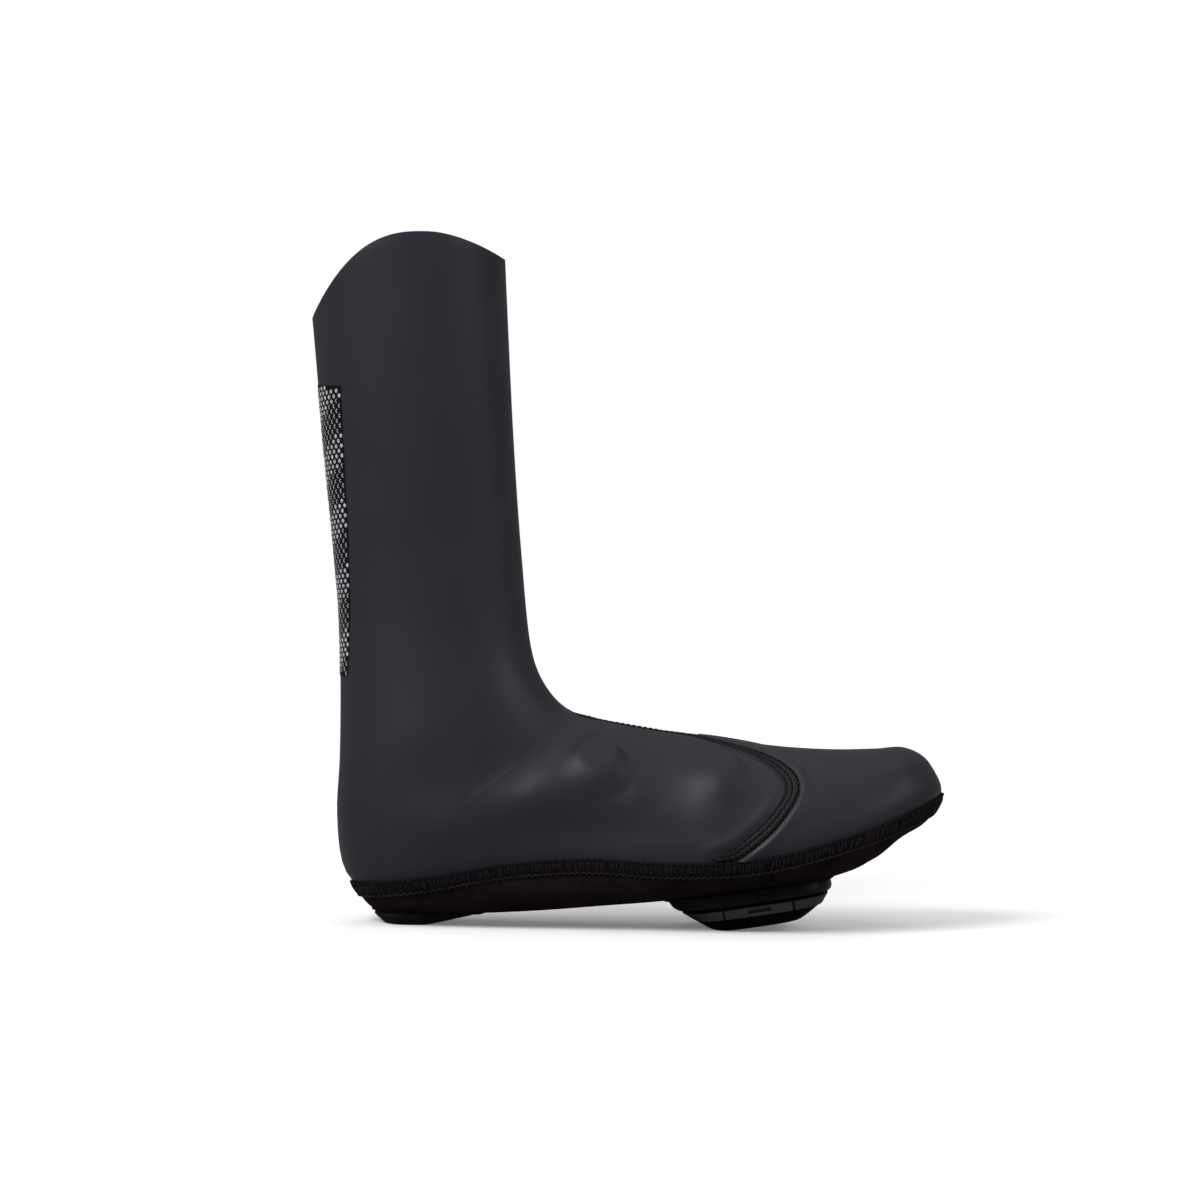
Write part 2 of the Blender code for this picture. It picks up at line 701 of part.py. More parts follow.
def toe_seam_places(side):
    """Row and girth of the toe seam's two edges at each step, from the ankle to the sole edge."""
    table = SmoothTable(
        range(len(TOE_SEAM)), [[station.girth / 100, station.x * LENGTH / 100] for station in TOE_SEAM]
    )
    path = [table(at) for at in np.linspace(0.0, table.end, TOE_SEAM_STEPS + 1)]
    rows = [row_at_x(x, side, girth) for girth, x in path]
    frames = [surface_frame(row, side, girth) for row, (girth, _) in zip(rows, path)]
    places = []
    for k, (point, along, across, normal) in enumerate(frames):
        run = frames[min(k + 1, len(frames) - 1)][0] - frames[max(k - 1, 0)][0]
        inward = np.cross(run, normal) * side
        inward *= TOE_SEAM_WIDTH / np.linalg.norm(inward)
        outer = np.array([rows[k], path[k][0]])
        shift = np.array([inward @ along / (along @ along), inward @ across / (across @ across)])
        over_ridge = outer[1] + shift[1] < 0
        inner = outer + shift * (-outer[1] / shift[1] if over_ridge else 1.0)
        inner[1] = 0.0 if over_ridge else min(inner[1], TOE_SEAM_LOW_END)
        places.append((outer, inner))
    return places


def build_toe_seam():
    """Both halves of the toe seam, sharing their points where they meet on the instep's ridge."""
    points, normals, faces, ridge = [], [], [], {}
    columns = TOE_SEAM_COLUMNS + 1
    halves = {side: toe_seam_places(side) for side in (LATERAL, MEDIAL)}
    for steps in zip(*halves.values()):
        inner_edges = [inner for _, inner in steps]
        if any(inner[1] > 0.0 for inner in inner_edges):
            for inner in inner_edges:
                inner[1] = max(inner[1], TOE_SEAM_FORK)
    for side, places in halves.items():
        ids = []
        for k, (outer, inner) in enumerate(places):
            for column in range(columns):
                row, girth = outer + column / TOE_SEAM_COLUMNS * (inner - outer)
                on_ridge = column == TOE_SEAM_COLUMNS and inner[1] == 0.0
                if on_ridge and k in ridge:
                    ids.append(ridge[k])
                    continue
                point, _, _, normal = surface_frame(row, side, max(girth, 0.0))
                ids.append(len(points))
                points.append(point)
                normals.append(normal)
                if on_ridge:
                    ridge[k] = ids[-1]
        for face in grid_faces(TOE_SEAM_STEPS + 1, columns):
            ordered = face[::-1] if side == MEDIAL else face
            faces.append(tuple(ids[i] for i in ordered))
    high = TOE_SEAM_GAP + TOE_SEAM_THICKNESS
    shell("toe_seam", points, normals, faces, TOE_SEAM_GAP, high, "seam_thread")


def build_reflective_panel():
    """Thin printed film over the back of the shaft, narrower towards the heel."""
    points = []
    for height in np.linspace(PANEL_LOW, PANEL_HIGH, PANEL_ROWS + 1):
        row = solve(lambda r: LAST(r)[3] - height, 0.0, 0.6 * LAST.end)
        share = (height - PANEL_LOW) / (PANEL_HIGH - PANEL_LOW)
        half_width = PANEL_LOW_HALF_WIDTH + share * (PANEL_HIGH_HALF_WIDTH - PANEL_LOW_HALF_WIDTH)
        lateral, medial = side_line(row, LATERAL), side_line(row, MEDIAL)
        around = np.vstack([lateral, medial[-2::-1]])
        middle = lengths_along(lateral)[-1]
        whole = lengths_along(around)[-1]
        reach = np.linspace(-half_width, half_width, PANEL_COLUMNS + 1)
        points.extend(at_shares(around, (middle + reach) / whole))
    faces = grid_faces(PANEL_ROWS + 1, PANEL_COLUMNS + 1)
    normals = vertex_normals(points, faces)
    shell("reflective_panel", points, normals, faces, GAP, GAP + PANEL_THICKNESS, "reflective_print")


def build_heel_pad(form):
    """Pad that fills its opening in the sole and ends just under the insole."""
    rings = [oval(ring.rear, ring.front, ring.half_width, ring.z, PAD_ROUND) for ring in HEEL_PAD]
    pad = loft("heel_pad", rings, "heel_rubber")
    cut(pad, insole_bed(form, 2 * HEEL_PAD[0].z))


def insole_bed(form, height):
    """Cutter that starts a gap below the insole's underside and rises straight up."""
    under = np.array(form.points) - np.array(form.normals) * (SOLE_WALL + INSOLE_GAP - GAP)
    down = np.tile((0.0, 0.0, -1.0), (len(under), 1))
    rows = range(FOOT_ROWS // 2)
    faces = [face for face, (row, _) in zip(form.sole_faces, form.sole_places) if row in rows]
    return shell("insole_bed", under, down, faces, -height, 0.0, None)


def cleat_frame():
    """Empty on the forefoot's underside, tilted nose up with the sole."""
    frame = bpy.data.objects.new("cleat_frame", None)
    bpy.context.scene.collection.objects.link(frame)
    frame.location = (CLEAT_X, 0.0, CLEAT_SOLE_Z)
    frame.rotation_euler = (0.0, -CLEAT_TILT, 0.0)
    return frame


def build_cleat(frame):
    layers = {}
    for name, rings in CLEAT_LAYERS.items():
        ovals = [oval(r.rear, r.front, r.half_width, -r.depth, CLEAT_ROUND) for r in rings]
        layers[name] = loft(name, ovals, "cleat_plastic")
        layers[name].parent = frame
    for cutter in body_cutters():
        cutter.parent = frame
        cut(layers["cleat_body"], cutter)
    reach = LENGTH
    cut(layers["cleat_tread"], block("floor", (0.0, -reach, -reach), (reach, reach, 0.0)))
    head_top = -CLEAT_LAYERS["cleat_tread"][0].depth
    for name, (x, y) in BOLTS.items():
        build_bolt(name, x, y, head_top, frame)
        shank_hole = bolt_hole(name + "_shank_hole", x, y, BOLT_SHANK_RADIUS, frame)
        for layer in ("cleat_base", "cleat_spacer", "cleat_body"):
            cut(layers[layer], shank_hole)
        cut(layers["cleat_tread"], bolt_hole(name + "_head_hole", x, y, BOLT_HEAD_RADIUS, frame))


def body_cutters():
    """Slots and pockets in the two long sides of the cleat's body."""
    low, high = -0.016, -0.005
    outside = 0.05
    top = CLEAT_LAYERS["cleat_body"][0]
    middle, reach = (top.front + top.rear) / 2, (top.front - top.rear) / 2

    def cut_floor(x):
        rim = top.half_width * (1 - (abs(x - middle) / reach) ** CLEAT_ROUND) ** (1 / CLEAT_ROUND)
        return rim - BODY_CUT_DEPTH

    for side in (LATERAL, MEDIAL):
        for k, x in enumerate(BODY_SLOTS):
            half = BODY_SLOT_WIDTH / 2
            inner, outer = sorted((side * cut_floor(x), side * outside))
            yield block(f"body_slot_{side}_{k}", (x - half, inner, low), (x + half, outer, high))
        start, end = BODY_POCKET
        bottom, ceiling = BODY_POCKET_HEIGHTS
        inner, outer = sorted((side * cut_floor(end), side * outside))
        yield block(f"body_pocket_{side}", (start, inner, bottom), (end, outer, ceiling))


def bolt_hole(name, x, y, radius, frame):
    wide = radius + BOLT_HOLE_CLEARANCE
    hole = loft(name, [circle(x, y, 0.01, wide, BOLT_SIDES), circle(x, y, -0.04, wide, BOLT_SIDES)])
    hole.parent = frame
    return hole


def build_bolt(name, x, y, head_top, frame):
    """Low round head with a hex socket, and a shank up to the insole."""
    shank_top = -CLEAT_LAYERS["cleat_base"][0].depth
    head_bottom = head_top - BOLT_HEAD_HEIGHT
    rings = [
        circle(x, y, shank_top, BOLT_SHANK_RADIUS, BOLT_SIDES),
        circle(x, y, head_top, BOLT_SHANK_RADIUS, BOLT_SIDES),
        circle(x, y, head_top, BOLT_HEAD_RADIUS, BOLT_SIDES),
        circle(x, y, head_bottom, BOLT_HEAD_RADIUS, BOLT_SIDES),
    ]
    bolt = loft(name, rings, "bolt_steel")
    bolt.parent = frame
    ends = (head_bottom + BOLT_SOCKET_DEPTH, head_bottom - BOLT_SOCKET_DEPTH)
    socket = loft(name + "_socket", [circle(x, y, z, BOLT_SOCKET_RADIUS, HEX_SIDES) for z in ends])
    socket.parent = frame
    cut(bolt, socket)


def stand_on_origin():
    """Puts the middle of the finished object's base at the origin, by way of one parent empty."""
    stand = bpy.data.objects.new("overshoe", None)
    bpy.context.scene.collection.objects.link(stand)
    bpy.context.view_layer.update()
    graph = bpy.context.evaluated_depsgraph_get()
    corners = []
    for thing in bpy.context.scene.objects:
        if thing.type == "MESH" and not thing.hide_render:
            placed = thing.evaluated_get(graph)
            corners.extend(placed.matrix_world @ Vector(corner) for corner in placed.bound_box)
    corners = np.array(corners)
    middle = (corners.min(axis=0) + corners.max(axis=0)) / 2
    for thing in bpy.context.scene.objects:
        if thing is not stand and thing.parent is None:
            thing.parent = stand
    stand.location = (-middle[0], -middle[1], 0.0)


def main():
    for thing in list(bpy.data.objects):
        bpy.data.objects.remove(thing)
    frame = cleat_frame()
    form = LastForm()
    build_upper(form)
    build_sole(form)
    build_insole(form)
    build_sole_band()
    build_toe_seam()
    build_reflective_panel()
    build_heel_pad(form)
    build_cleat(frame)
    stand_on_origin()


main()
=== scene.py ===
# Right-foot neoprene overshoe: the looks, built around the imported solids
import math

import bpy
import numpy as np
from mathutils import Matrix, Vector
from mathutils.bvhtree import BVHTree


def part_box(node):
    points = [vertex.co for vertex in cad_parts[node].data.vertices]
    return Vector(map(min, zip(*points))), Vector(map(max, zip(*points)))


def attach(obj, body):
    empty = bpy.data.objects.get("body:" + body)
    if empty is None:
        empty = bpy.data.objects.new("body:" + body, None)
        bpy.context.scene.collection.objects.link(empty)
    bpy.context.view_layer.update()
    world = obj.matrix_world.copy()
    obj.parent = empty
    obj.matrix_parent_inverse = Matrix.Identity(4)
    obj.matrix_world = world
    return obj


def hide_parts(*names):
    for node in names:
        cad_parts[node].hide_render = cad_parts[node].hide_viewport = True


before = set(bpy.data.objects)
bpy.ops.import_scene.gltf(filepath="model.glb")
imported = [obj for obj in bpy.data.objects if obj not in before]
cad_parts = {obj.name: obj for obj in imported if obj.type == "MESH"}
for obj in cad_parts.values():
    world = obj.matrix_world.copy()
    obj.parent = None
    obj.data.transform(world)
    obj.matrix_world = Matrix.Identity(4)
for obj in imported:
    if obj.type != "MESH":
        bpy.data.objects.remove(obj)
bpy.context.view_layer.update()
bpy.context.scene.view_settings.view_transform = "Standard"
lateral, medial = -1, 1
print("frame loaded:", len(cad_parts), "solids")


# The last: sections from collar to toe tip, as in the solids
# front x, front z, back x, back z, lateral, medial, centre, widest (per cent), front round, back round
last = {
    "length": 0.290,
    "ballWidth": 0.104,
    "instep": 0.100,
    "linePoints": 361,
    "seamPoints": 241,
    "sections": {
        "overCollar": (25.9, 335.0, -7.1, 335.0, 41.5, 41.5, 0.0, 50.0, 2.0, 2.0),
        "collar": (26.9, 285.0, -5.1, 285.0, 40.2, 40.2, 0.0, 50.0, 2.0, 2.0),
        "calf": (28.1, 230.0, -3.2, 230.0, 37.2, 37.2, 0.0, 50.0, 2.0, 2.0),
        "shin": (29.7, 175.0, -1.1, 175.0, 34.2, 34.2, 0.0, 50.0, 2.0, 2.05),
        "overAnkle": (31.2, 136.0, 0.0, 139.0, 33.4, 33.4, 0.0, 50.0, 2.0, 2.15),
        "ankle": (32.3, 123.0, 0.3, 107.0, 34.6, 34.8, 0.0, 51.0, 2.05, 2.15),
        "throat": (33.9, 113.8, 0.3, 77.0, 35.8, 35.8, 0.0, 53.0, 2.1, 2.15),
        "counter": (36.0, 106.2, 0.0, 50.0, 36.4, 36.2, 0.0, 55.0, 2.15, 2.15),
        "heelCurve": (37.9, 102.1, 0.9, 29.5, 36.6, 36.3, 0.0, 57.0, 2.2, 2.15),
        "heelSeam": (39.4, 100.1, 2.6, 18.4, 36.7, 36.3, 0.0, 58.0, 2.2, 2.2),
        "heelEdge": (41.0, 98.6, 6.3, 6.2, 36.9, 36.3, 0.0, 59.0, 2.2, 2.5),
        "heelSeat": (43.0, 97.4, 13.0, 4.6, 37.2, 36.3, 0.0, 61.0, 2.2, 3.1),
        "heelBreast": (45.3, 96.2, 22.0, 5.2, 37.9, 36.3, 0.2, 63.0, 2.2, 3.3),
        "waist": (48.4, 94.6, 33.0, 7.0, 39.2, 36.8, 0.6, 65.0, 2.15, 3.2),
        "arch": (52.5, 92.8, 43.6, 9.8, 42.0, 38.4, 1.0, 67.0, 2.1, 3.1),
        "joint": (58.4, 90.8, 54.4, 13.0, 46.0, 41.8, 1.4, 69.0, 2.1, 3.1),
        "ball": (65.6, 88.3, 64.8, 17.6, 48.6, 46.0, 1.8, 70.0, 2.1, 3.0),
        "tread": (73.5, 85.8, 73.5, 21.6, 48.4, 47.0, 2.4, 70.0, 2.1, 3.0),
        "toeJoint": (81.8, 84.8, 81.8, 25.7, 45.0, 44.0, 3.8, 69.0, 2.15, 2.8),
        "toeBox": (88.4, 85.3, 88.4, 33.9, 39.0, 38.6, 5.4, 68.0, 2.2, 2.6),
        "toe": (93.4, 85.9, 92.8, 43.8, 31.4, 31.2, 6.6, 67.0, 2.2, 2.4),
        "toeEnd": (96.8, 80.7, 96.5, 50.2, 22.2, 22.2, 7.4, 66.0, 2.1, 2.2),
        "toeNose": (98.8, 71.0, 98.6, 57.6, 12.2, 12.2, 7.8, 60.0, 2.0, 2.0),
        "toeTip": (99.6, 64.9, 99.6, 64.1, 0.0, 0.0, 8.0, 50.0, 2.0, 2.0),
    },
    # x and z of the sole seam, per cent of length and instep
    "soleSeam": (
        (0.0, 17.6), (14.0, 23.3), (28.0, 31.0), (41.5, 34.2), (55.0, 33.0),
        (69.0, 36.0), (81.0, 44.2), (91.5, 54.2), (100.0, 64.5),
    ),
    # edge of the collar seen from the side: peak height and place, then drop, span and power each way
    "collarPeak": (0.3282, 0.040),
    "collarFront": (0.0127, 0.0363, 1.8),
    "collarBack": (0.0422, 0.055, 2.65),
    "collarZoneLow": 0.262,
}


def smoothCurve(knots, values):
    knots = np.asarray(knots, float)
    values = np.asarray(values, float)
    step = np.diff(knots)[:, None]
    rise = np.diff(values, axis=0) / step
    inner = (rise[:-1] * step[1:] + rise[1:] * step[:-1]) / (step[:-1] + step[1:])
    slopes = np.vstack([2 * rise[0] - inner[0], inner, 2 * rise[-1] - inner[-1]])

    def at(place):
        i = int(np.clip(np.searchsorted(knots, place) - 1, 0, len(knots) - 2))
        span = knots[i + 1] - knots[i]
        t = (place - knots[i]) / span
        start = (1 + 2 * t) * (1 - t) ** 2 * values[i] + t * (1 - t) ** 2 * span * slopes[i]
        end = t * t * (3 - 2 * t) * values[i + 1] + t * t * (t - 1) * span * slopes[i + 1]
        return start + end

    return at


def sectionCurve():
    x, z, y = last["length"] / 100, last["instep"] / 100, last["ballWidth"] / 100
    scale = np.array([x, z, x, z, y, y, y, 0.01, 1, 1])
    values = np.array(list(last["sections"].values())) * scale
    frontStep = np.linalg.norm(np.diff(values[:, 0:2], axis=0), axis=1)
    backStep = np.linalg.norm(np.diff(values[:, 2:4], axis=0), axis=1)
    knots = np.concatenate([[0.0], np.cumsum((frontStep + backStep) / 2)])
    return smoothCurve(knots, values), knots[-1], values[-1]


lastAt, lastEnd, tipValues = sectionCurve()
seamCurve = smoothCurve(
    [x * last["length"] / 100 for x, z in last["soleSeam"]],
    [[z * last["instep"] / 100] for x, z in last["soleSeam"]],
)
seamX = np.linspace(0.0, last["length"], last["seamPoints"])
seamZ = np.array([seamCurve(x)[0] for x in seamX])

# how far the last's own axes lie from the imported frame's
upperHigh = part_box("upper")[1]
padLow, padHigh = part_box("heel_pad")
stand = np.array([upperHigh.x - tipValues[0], (padLow.y + padHigh.y) / 2, 0.0])
standMatrix = Matrix.Translation(Vector(stand))


def seamHeight(x):
    return np.interp(x, seamX, seamZ)


def collarHeight(x):
    peak, peakX = last["collarPeak"]
    drop, span, power = last["collarFront"] if x > peakX else last["collarBack"]
    return peak - drop * (abs(x - peakX) / span) ** power


def sideLine(row, side):
    # half a section, from the front over the side to the back
    frontX, frontZ, backX, backZ, out, inn, centre, widest, frontRound, backRound = lastAt(row)
    turn = np.linspace(0.0, math.pi, last["linePoints"])
    cosine, sine = np.cos(turn), np.clip(np.sin(turn), 0.0, 1.0)
    inFront = cosine >= 0
    power = np.where(inFront, 2 / frontRound, 2 / backRound)
    reach = np.abs(cosine) ** power
    along = np.where(inFront, widest * (1 - reach), widest + (1 - widest) * reach)
    wide = sine**power * (out if side == lateral else inn)
    x = frontX + (backX - frontX) * along
    return np.column_stack([x, centre + side * wide, frontZ + (backZ - frontZ) * along])


def unit(ways):
    return ways / np.maximum(np.linalg.norm(ways, axis=-1, keepdims=True), 1e-12)


def lengthsAlong(line):
    return np.concatenate([[0.0], np.cumsum(np.linalg.norm(np.diff(line, axis=0), axis=1))])


def alongLine(wanted, length, line):
    return np.column_stack([np.interp(wanted, length, line[:, k]) for k in range(3)])


def atShares(line, shares):
    length = lengthsAlong(line)
    return alongLine(np.asarray(shares) * length[-1], length, line)


def splitAtHeight(line, heightOf):
    over = line[:, 2] - heightOf(line[:, 0])
    below = np.nonzero(over < 0)[0]
    if len(below) == 0:
        return line, line[-1:]
    i = int(below[0])
    if i == 0:
        return line[:1], line
    t = over[i - 1] / (over[i - 1] - over[i])
    cut = line[i - 1] + t * (line[i] - line[i - 1])
    return np.vstack([line[:i], cut]), np.vstack([cut, line[i:]])


def upperLine(row, side):
    return splitAtHeight(sideLine(row, side), seamHeight)[0]


def soleLine(row, side):
    return splitAtHeight(sideLine(row, side), seamHeight)[1]


def overTop(lineOf):
    # one row of points, from the medial edge over the top to the lateral edge
    return np.vstack([lineOf(medial)[::-1], lineOf(lateral)[1:]])


def roundBack(lineOf):
    # one row of points, from the lateral edge round the back or under the sole to the medial edge
    return np.vstack([lineOf(lateral), lineOf(medial)[-2::-1]])


def upperPoint(row, side, girth):
    return atShares(upperLine(row, side), [girth])[0]


def solve(function, low, high, steps=40):
    for _ in range(steps):
        middle = (low + high) / 2
        if function(middle) > 0:
            low = middle
        else:
            high = middle
    return (low + high) / 2


def backOver(row, heightOf):
    values = lastAt(row)
    return values[3] - heightOf(values[2])


def frontOver(row, heightOf):
    values = lastAt(row)
    return values[1] - heightOf(values[0])


heelSearchEnd, toeSearchStart = 0.6 * lastEnd, 0.7 * lastEnd
heelRow = solve(lambda row: backOver(row, seamHeight), 0.0, heelSearchEnd)
collarRow = solve(lambda row: lastAt(row)[1] - last["collarZoneLow"], 0.0, lastEnd)


def easedShares(count):
    # from 0 to 1, closer together towards both ends
    return (1 - np.cos(np.linspace(0.0, math.pi, count))) / 2


def evenRows(start, end, count, measure):
    rows = start + (end - start) * easedShares(last["seamPoints"])
    length = np.concatenate([[0.0], np.cumsum([measure(a, b) for a, b in zip(rows[:-1], rows[1:])])])
    return np.interp(np.linspace(0.0, length[-1], count + 1), length, rows)


def shaftMeasure(a, b):
    first, second = lastAt(a), lastAt(b)
    return (np.linalg.norm(first[0:2] - second[0:2]) + np.linalg.norm(first[2:4] - second[2:4])) / 2


def footMeasure(a, b):
    front = np.linalg.norm(lastAt(a)[0:2] - lastAt(b)[0:2])
    return (front + np.linalg.norm(soleLine(a, lateral)[0] - soleLine(b, lateral)[0])) / 2


def ease(t):
    t = np.clip(t, 0.0, 1.0)
    return t * t * (3 - 2 * t)


def bell(distance, halfWidth):
    return np.exp(-((distance / halfWidth) ** 2))


def nearPath(places, path):
    best = np.full(len(places), 1e9)
    path = np.asarray(path, float)
    for a, b in zip(path[:-1], path[1:]):
        way = b - a
        t = np.clip((places - a) @ way / max(way @ way, 1e-12), 0.0, 1.0)
        best = np.minimum(best, np.linalg.norm(places - a - t[:, None] * way, axis=1))
    return best


def gridNormals(points, closed=False):
    if closed:
        along = np.roll(points, -1, axis=0) - np.roll(points, 1, axis=0)
    else:
        along = np.gradient(points, axis=0)
    return unit(np.cross(np.gradient(points, axis=1), along))


# Tools for the bench
def onlySelect(piece):
    bpy.ops.object.select_all(action="DESELECT")
    piece.select_set(True)
    bpy.context.view_layer.objects.active = piece


def newPiece(name, primitive, **sizes):
    bpy.ops.object.select_all(action="DESELECT")
    primitive(**sizes)
    piece = bpy.context.object
    piece.name = piece.data.name = name
    return piece


def startEdit(piece):
    onlySelect(piece)
    bpy.ops.object.mode_set(mode="EDIT")
    bpy.ops.mesh.select_all(action="SELECT")


def endEdit(outward=False):
    if outward:
        bpy.ops.mesh.select_all(action="SELECT")
        bpy.ops.mesh.normals_make_consistent(inside=False)
    bpy.ops.object.mode_set(mode="OBJECT")


def extrude(way):
    bpy.ops.mesh.extrude_region_move(TRANSFORM_OT_translate={"value": way})


def getPlaces(mesh):
    places = np.zeros(len(mesh.vertices) * 3)
    mesh.vertices.foreach_get("co", places)
    return places.reshape(-1, 3)


def setPlaces(mesh, places):
    mesh.vertices.foreach_set("co", places.astype(np.float32).ravel())
    mesh.update()


def setMap(mesh, layer, places):
    corner = np.zeros(len(mesh.loops), np.int32)
    mesh.loops.foreach_get("vertex_index", corner)
    layer.data.foreach_set("uv", places[corner].astype(np.float32).ravel())


def gridPiece(name, points, cloth=None):
    rows, columns = points.shape[:2]
    piece = newPiece(
        name, bpy.ops.mesh.primitive_grid_add, x_subdivisions=columns - 1, y_subdivisions=rows - 1, size=1.0
    )
    if cloth is not None:
        layer = piece.data.uv_layers[0]
        layer.name = "cloth"
        setMap(piece.data, layer, cloth.reshape(-1, 2))
    setPlaces(piece.data, points.reshape(-1, 3) + stand)
    return piece


def clothMap(points, zeroColumn):
    # a flat map of a grid in metres, across from one column and along the middle
    across = np.array([lengthsAlong(row) for row in points])
    across -= across[:, [zeroColumn]]
    along = lengthsAlong(points[:, points.shape[1] // 2])
    return np.stack([across, np.tile(along[:, None], (1, points.shape[1]))], axis=2)


def meshPiece(name, verts, faces):
    mesh = bpy.data.meshes.new(name)
    mesh.from_pydata([tuple(v) for v in verts], [], faces)
    piece = bpy.data.objects.new(name, mesh)
    bpy.context.scene.collection.objects.link(piece)
    return piece


def movePiece(piece, matrix):
    piece.data.transform(matrix)
    piece.data.update()
    return piece


def mergePoints(piece, distance=0.000002, outward=False):
    startEdit(piece)
    bpy.ops.mesh.remove_doubles(threshold=distance)
    endEdit(outward)


def applyAll(piece):
    onlySelect(piece)
    for change in list(piece.modifiers):
        bpy.ops.object.modifier_apply(modifier=change.name)


def thicken(piece, wall, lining=0, rim=0):
    change = piece.modifiers.new("wall", "SOLIDIFY")
    change.thickness = wall
    change.offset = -1.0
    change.material_offset = lining
    change.material_offset_rim = rim
    applyAll(piece)


def roundEdges(piece, width, segments=3, angle=20):
    change = piece.modifiers.new("edges", "BEVEL")
    change.width = width
    change.segments = segments
    change.limit_method = "ANGLE"
    change.angle_limit = math.radians(angle)
    applyAll(piece)


# edges sharper than these angles in degrees stay sharp
shadeAngle = {"thread": 60, "film": 60, "cloth": 40, "hard": 35}


def smoothShade(piece, angle=None):
    onlySelect(piece)
    if angle is None:
        bpy.ops.object.shade_smooth()
    else:
        bpy.ops.object.shade_smooth_by_angle(angle=math.radians(angle))


def cutAway(piece, cutters):
    for cutter in cutters:
        change = piece.modifiers.new("cut", "BOOLEAN")
        change.operation = "DIFFERENCE"
        change.object = cutter
    applyAll(piece)
    for cutter in cutters:
        bpy.data.objects.remove(cutter)


def finishPiece(piece, looks=(), nodes=()):
    for look in looks:
        piece.data.materials.append(finish[look])
    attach(piece, "root")
    if nodes:
        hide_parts(*nodes)


# Threads: many short tubes in one mesh, each along its own points with its own outward direction
def threadTubes(name, runs, width, height, sides=6, taper=0.35):
    verts, faces, marks = [], [], []
    turn = np.linspace(0.0, 2 * math.pi, sides, endpoint=False)
    for points, outs in runs:
        start = len(verts)
        along = unit(np.gradient(points, axis=0))
        sideways = unit(np.cross(outs, along))
        up = np.cross(along, sideways)
        size = np.ones(len(points))
        size[[0, -1]] = taper
        run = lengthsAlong(points)
        for k in range(len(points)):
            ring = np.outer(np.cos(turn), sideways[k]) * width / 2
            ring += np.outer(np.sin(turn), up[k]) * height / 2
            verts.extend(points[k] + ring * size[k] + stand)
            marks.extend((j / sides, run[k]) for j in range(sides))
        end = len(verts) - sides
        for here in range(start, end, sides):
            for j in range(sides):
                n = (j + 1) % sides
                faces.append((here + j, here + n, here + sides + n, here + sides + j))
        faces.append(tuple(reversed(range(start, start + sides))))
        faces.append(tuple(range(end, end + sides)))
    piece = meshPiece(name, verts, faces)
    setMap(piece.data, piece.data.uv_layers.new(name="thread"), np.array(marks))
    smoothShade(piece, shadeAngle["thread"])
    return piece


def asRun(found):
    points, outs = zip(*found)
    return np.array(points), np.array(outs)


# Node groups that several finishes share
def feed(tree, value, socket):
    if isinstance(value, bpy.types.NodeSocket):
        tree.links.new(value, socket)
    else:
        socket.default_value = value


def addNode(tree, kind, settings=None, **inputs):
    node = tree.nodes.new("ShaderNode" + kind)
    for label, value in (settings or {}).items():
        setattr(node, label, value)
    for label, value in inputs.items():
        feed(tree, value, node.inputs[label.replace("_", " ")])
    return node


def calc(tree, operation, *values):
    node = addNode(tree, "Math", {"operation": operation})
    for value, socket in zip(values, node.inputs):
        feed(tree, value, socket)
    return node.outputs[0]


def newGroup(name, inputs, outputs):
    tree = bpy.data.node_groups.new(name, "ShaderNodeTree")
    for flow, sockets in (("INPUT", inputs), ("OUTPUT", outputs)):
        for label, kind in sockets.items():
            tree.interface.new_socket(name=label, in_out=flow, socket_type="NodeSocket" + kind)
    given, out = tree.nodes.new("NodeGroupInput"), tree.nodes.new("NodeGroupOutput")
    return tree, given.outputs, out.inputs


groupLook = {
    "mottleRange": (0.3, 0.7),
    # how far a thread of the weave sinks towards the edges of a crossing
    "weaveSag": 0.45,
    "scuffStretch": (1.0, 6.0, 9.0),
    "scuffTurn": (0.3, 0.2, 0.5),
    "scuffPatches": 90.0,
    "scuffLevel": 0.62,
}


def mottleGroup():
    tree, given, out = newGroup(
        "softMottle",
        {"Vector": "Vector", "Scale": "Float", "Detail": "Float", "Dark": "Color", "Light": "Color"},
        {"Color": "Color", "Value": "Float"},
    )
    noise = addNode(tree, "TexNoise", Vector=given["Vector"], Scale=given["Scale"], Detail=given["Detail"])
    low, high = groupLook["mottleRange"]
    spread = addNode(tree, "MapRange", Value=noise.outputs["Fac"], From_Min=low, From_Max=high)
    share = spread.outputs["Result"]
    mix = addNode(tree, "Mix", {"data_type": "RGBA"}, Factor=share, A=given["Dark"], B=given["Light"])
    tree.links.new(mix.outputs["Result"], out["Color"])
    tree.links.new(share, out["Value"])
    return tree


def weaveGroup():
    # plain weave on a map in metres: warp over weft on every second crossing
    tree, given, out = newGroup("plainWeave", {"Vector": "Vector", "Pitch": "Float"}, {"Height": "Float"})
    parts = addNode(tree, "SeparateXYZ", Vector=given["Vector"])
    cells, crowns = [], []
    for axis in ("X", "Y"):
        count = calc(tree, "DIVIDE", parts.outputs[axis], given["Pitch"])
        cells.append(calc(tree, "FLOOR", count))
        crowns.append(calc(tree, "SINE", calc(tree, "MULTIPLY", calc(tree, "FRACT", count), math.pi)))
    over = calc(tree, "ABSOLUTE", calc(tree, "MODULO", calc(tree, "ADD", *cells), 2.0))
    sag = groupLook["weaveSag"]
    warp, weft = (
        calc(tree, "MULTIPLY", crown, calc(tree, "MULTIPLY_ADD", other, sag, 1 - sag))
        for crown, other in (crowns, crowns[::-1])
    )
    mix = addNode(tree, "Mix", Factor=over, A=warp, B=weft)
    tree.links.new(mix.outputs["Result"], out["Height"])
    return tree


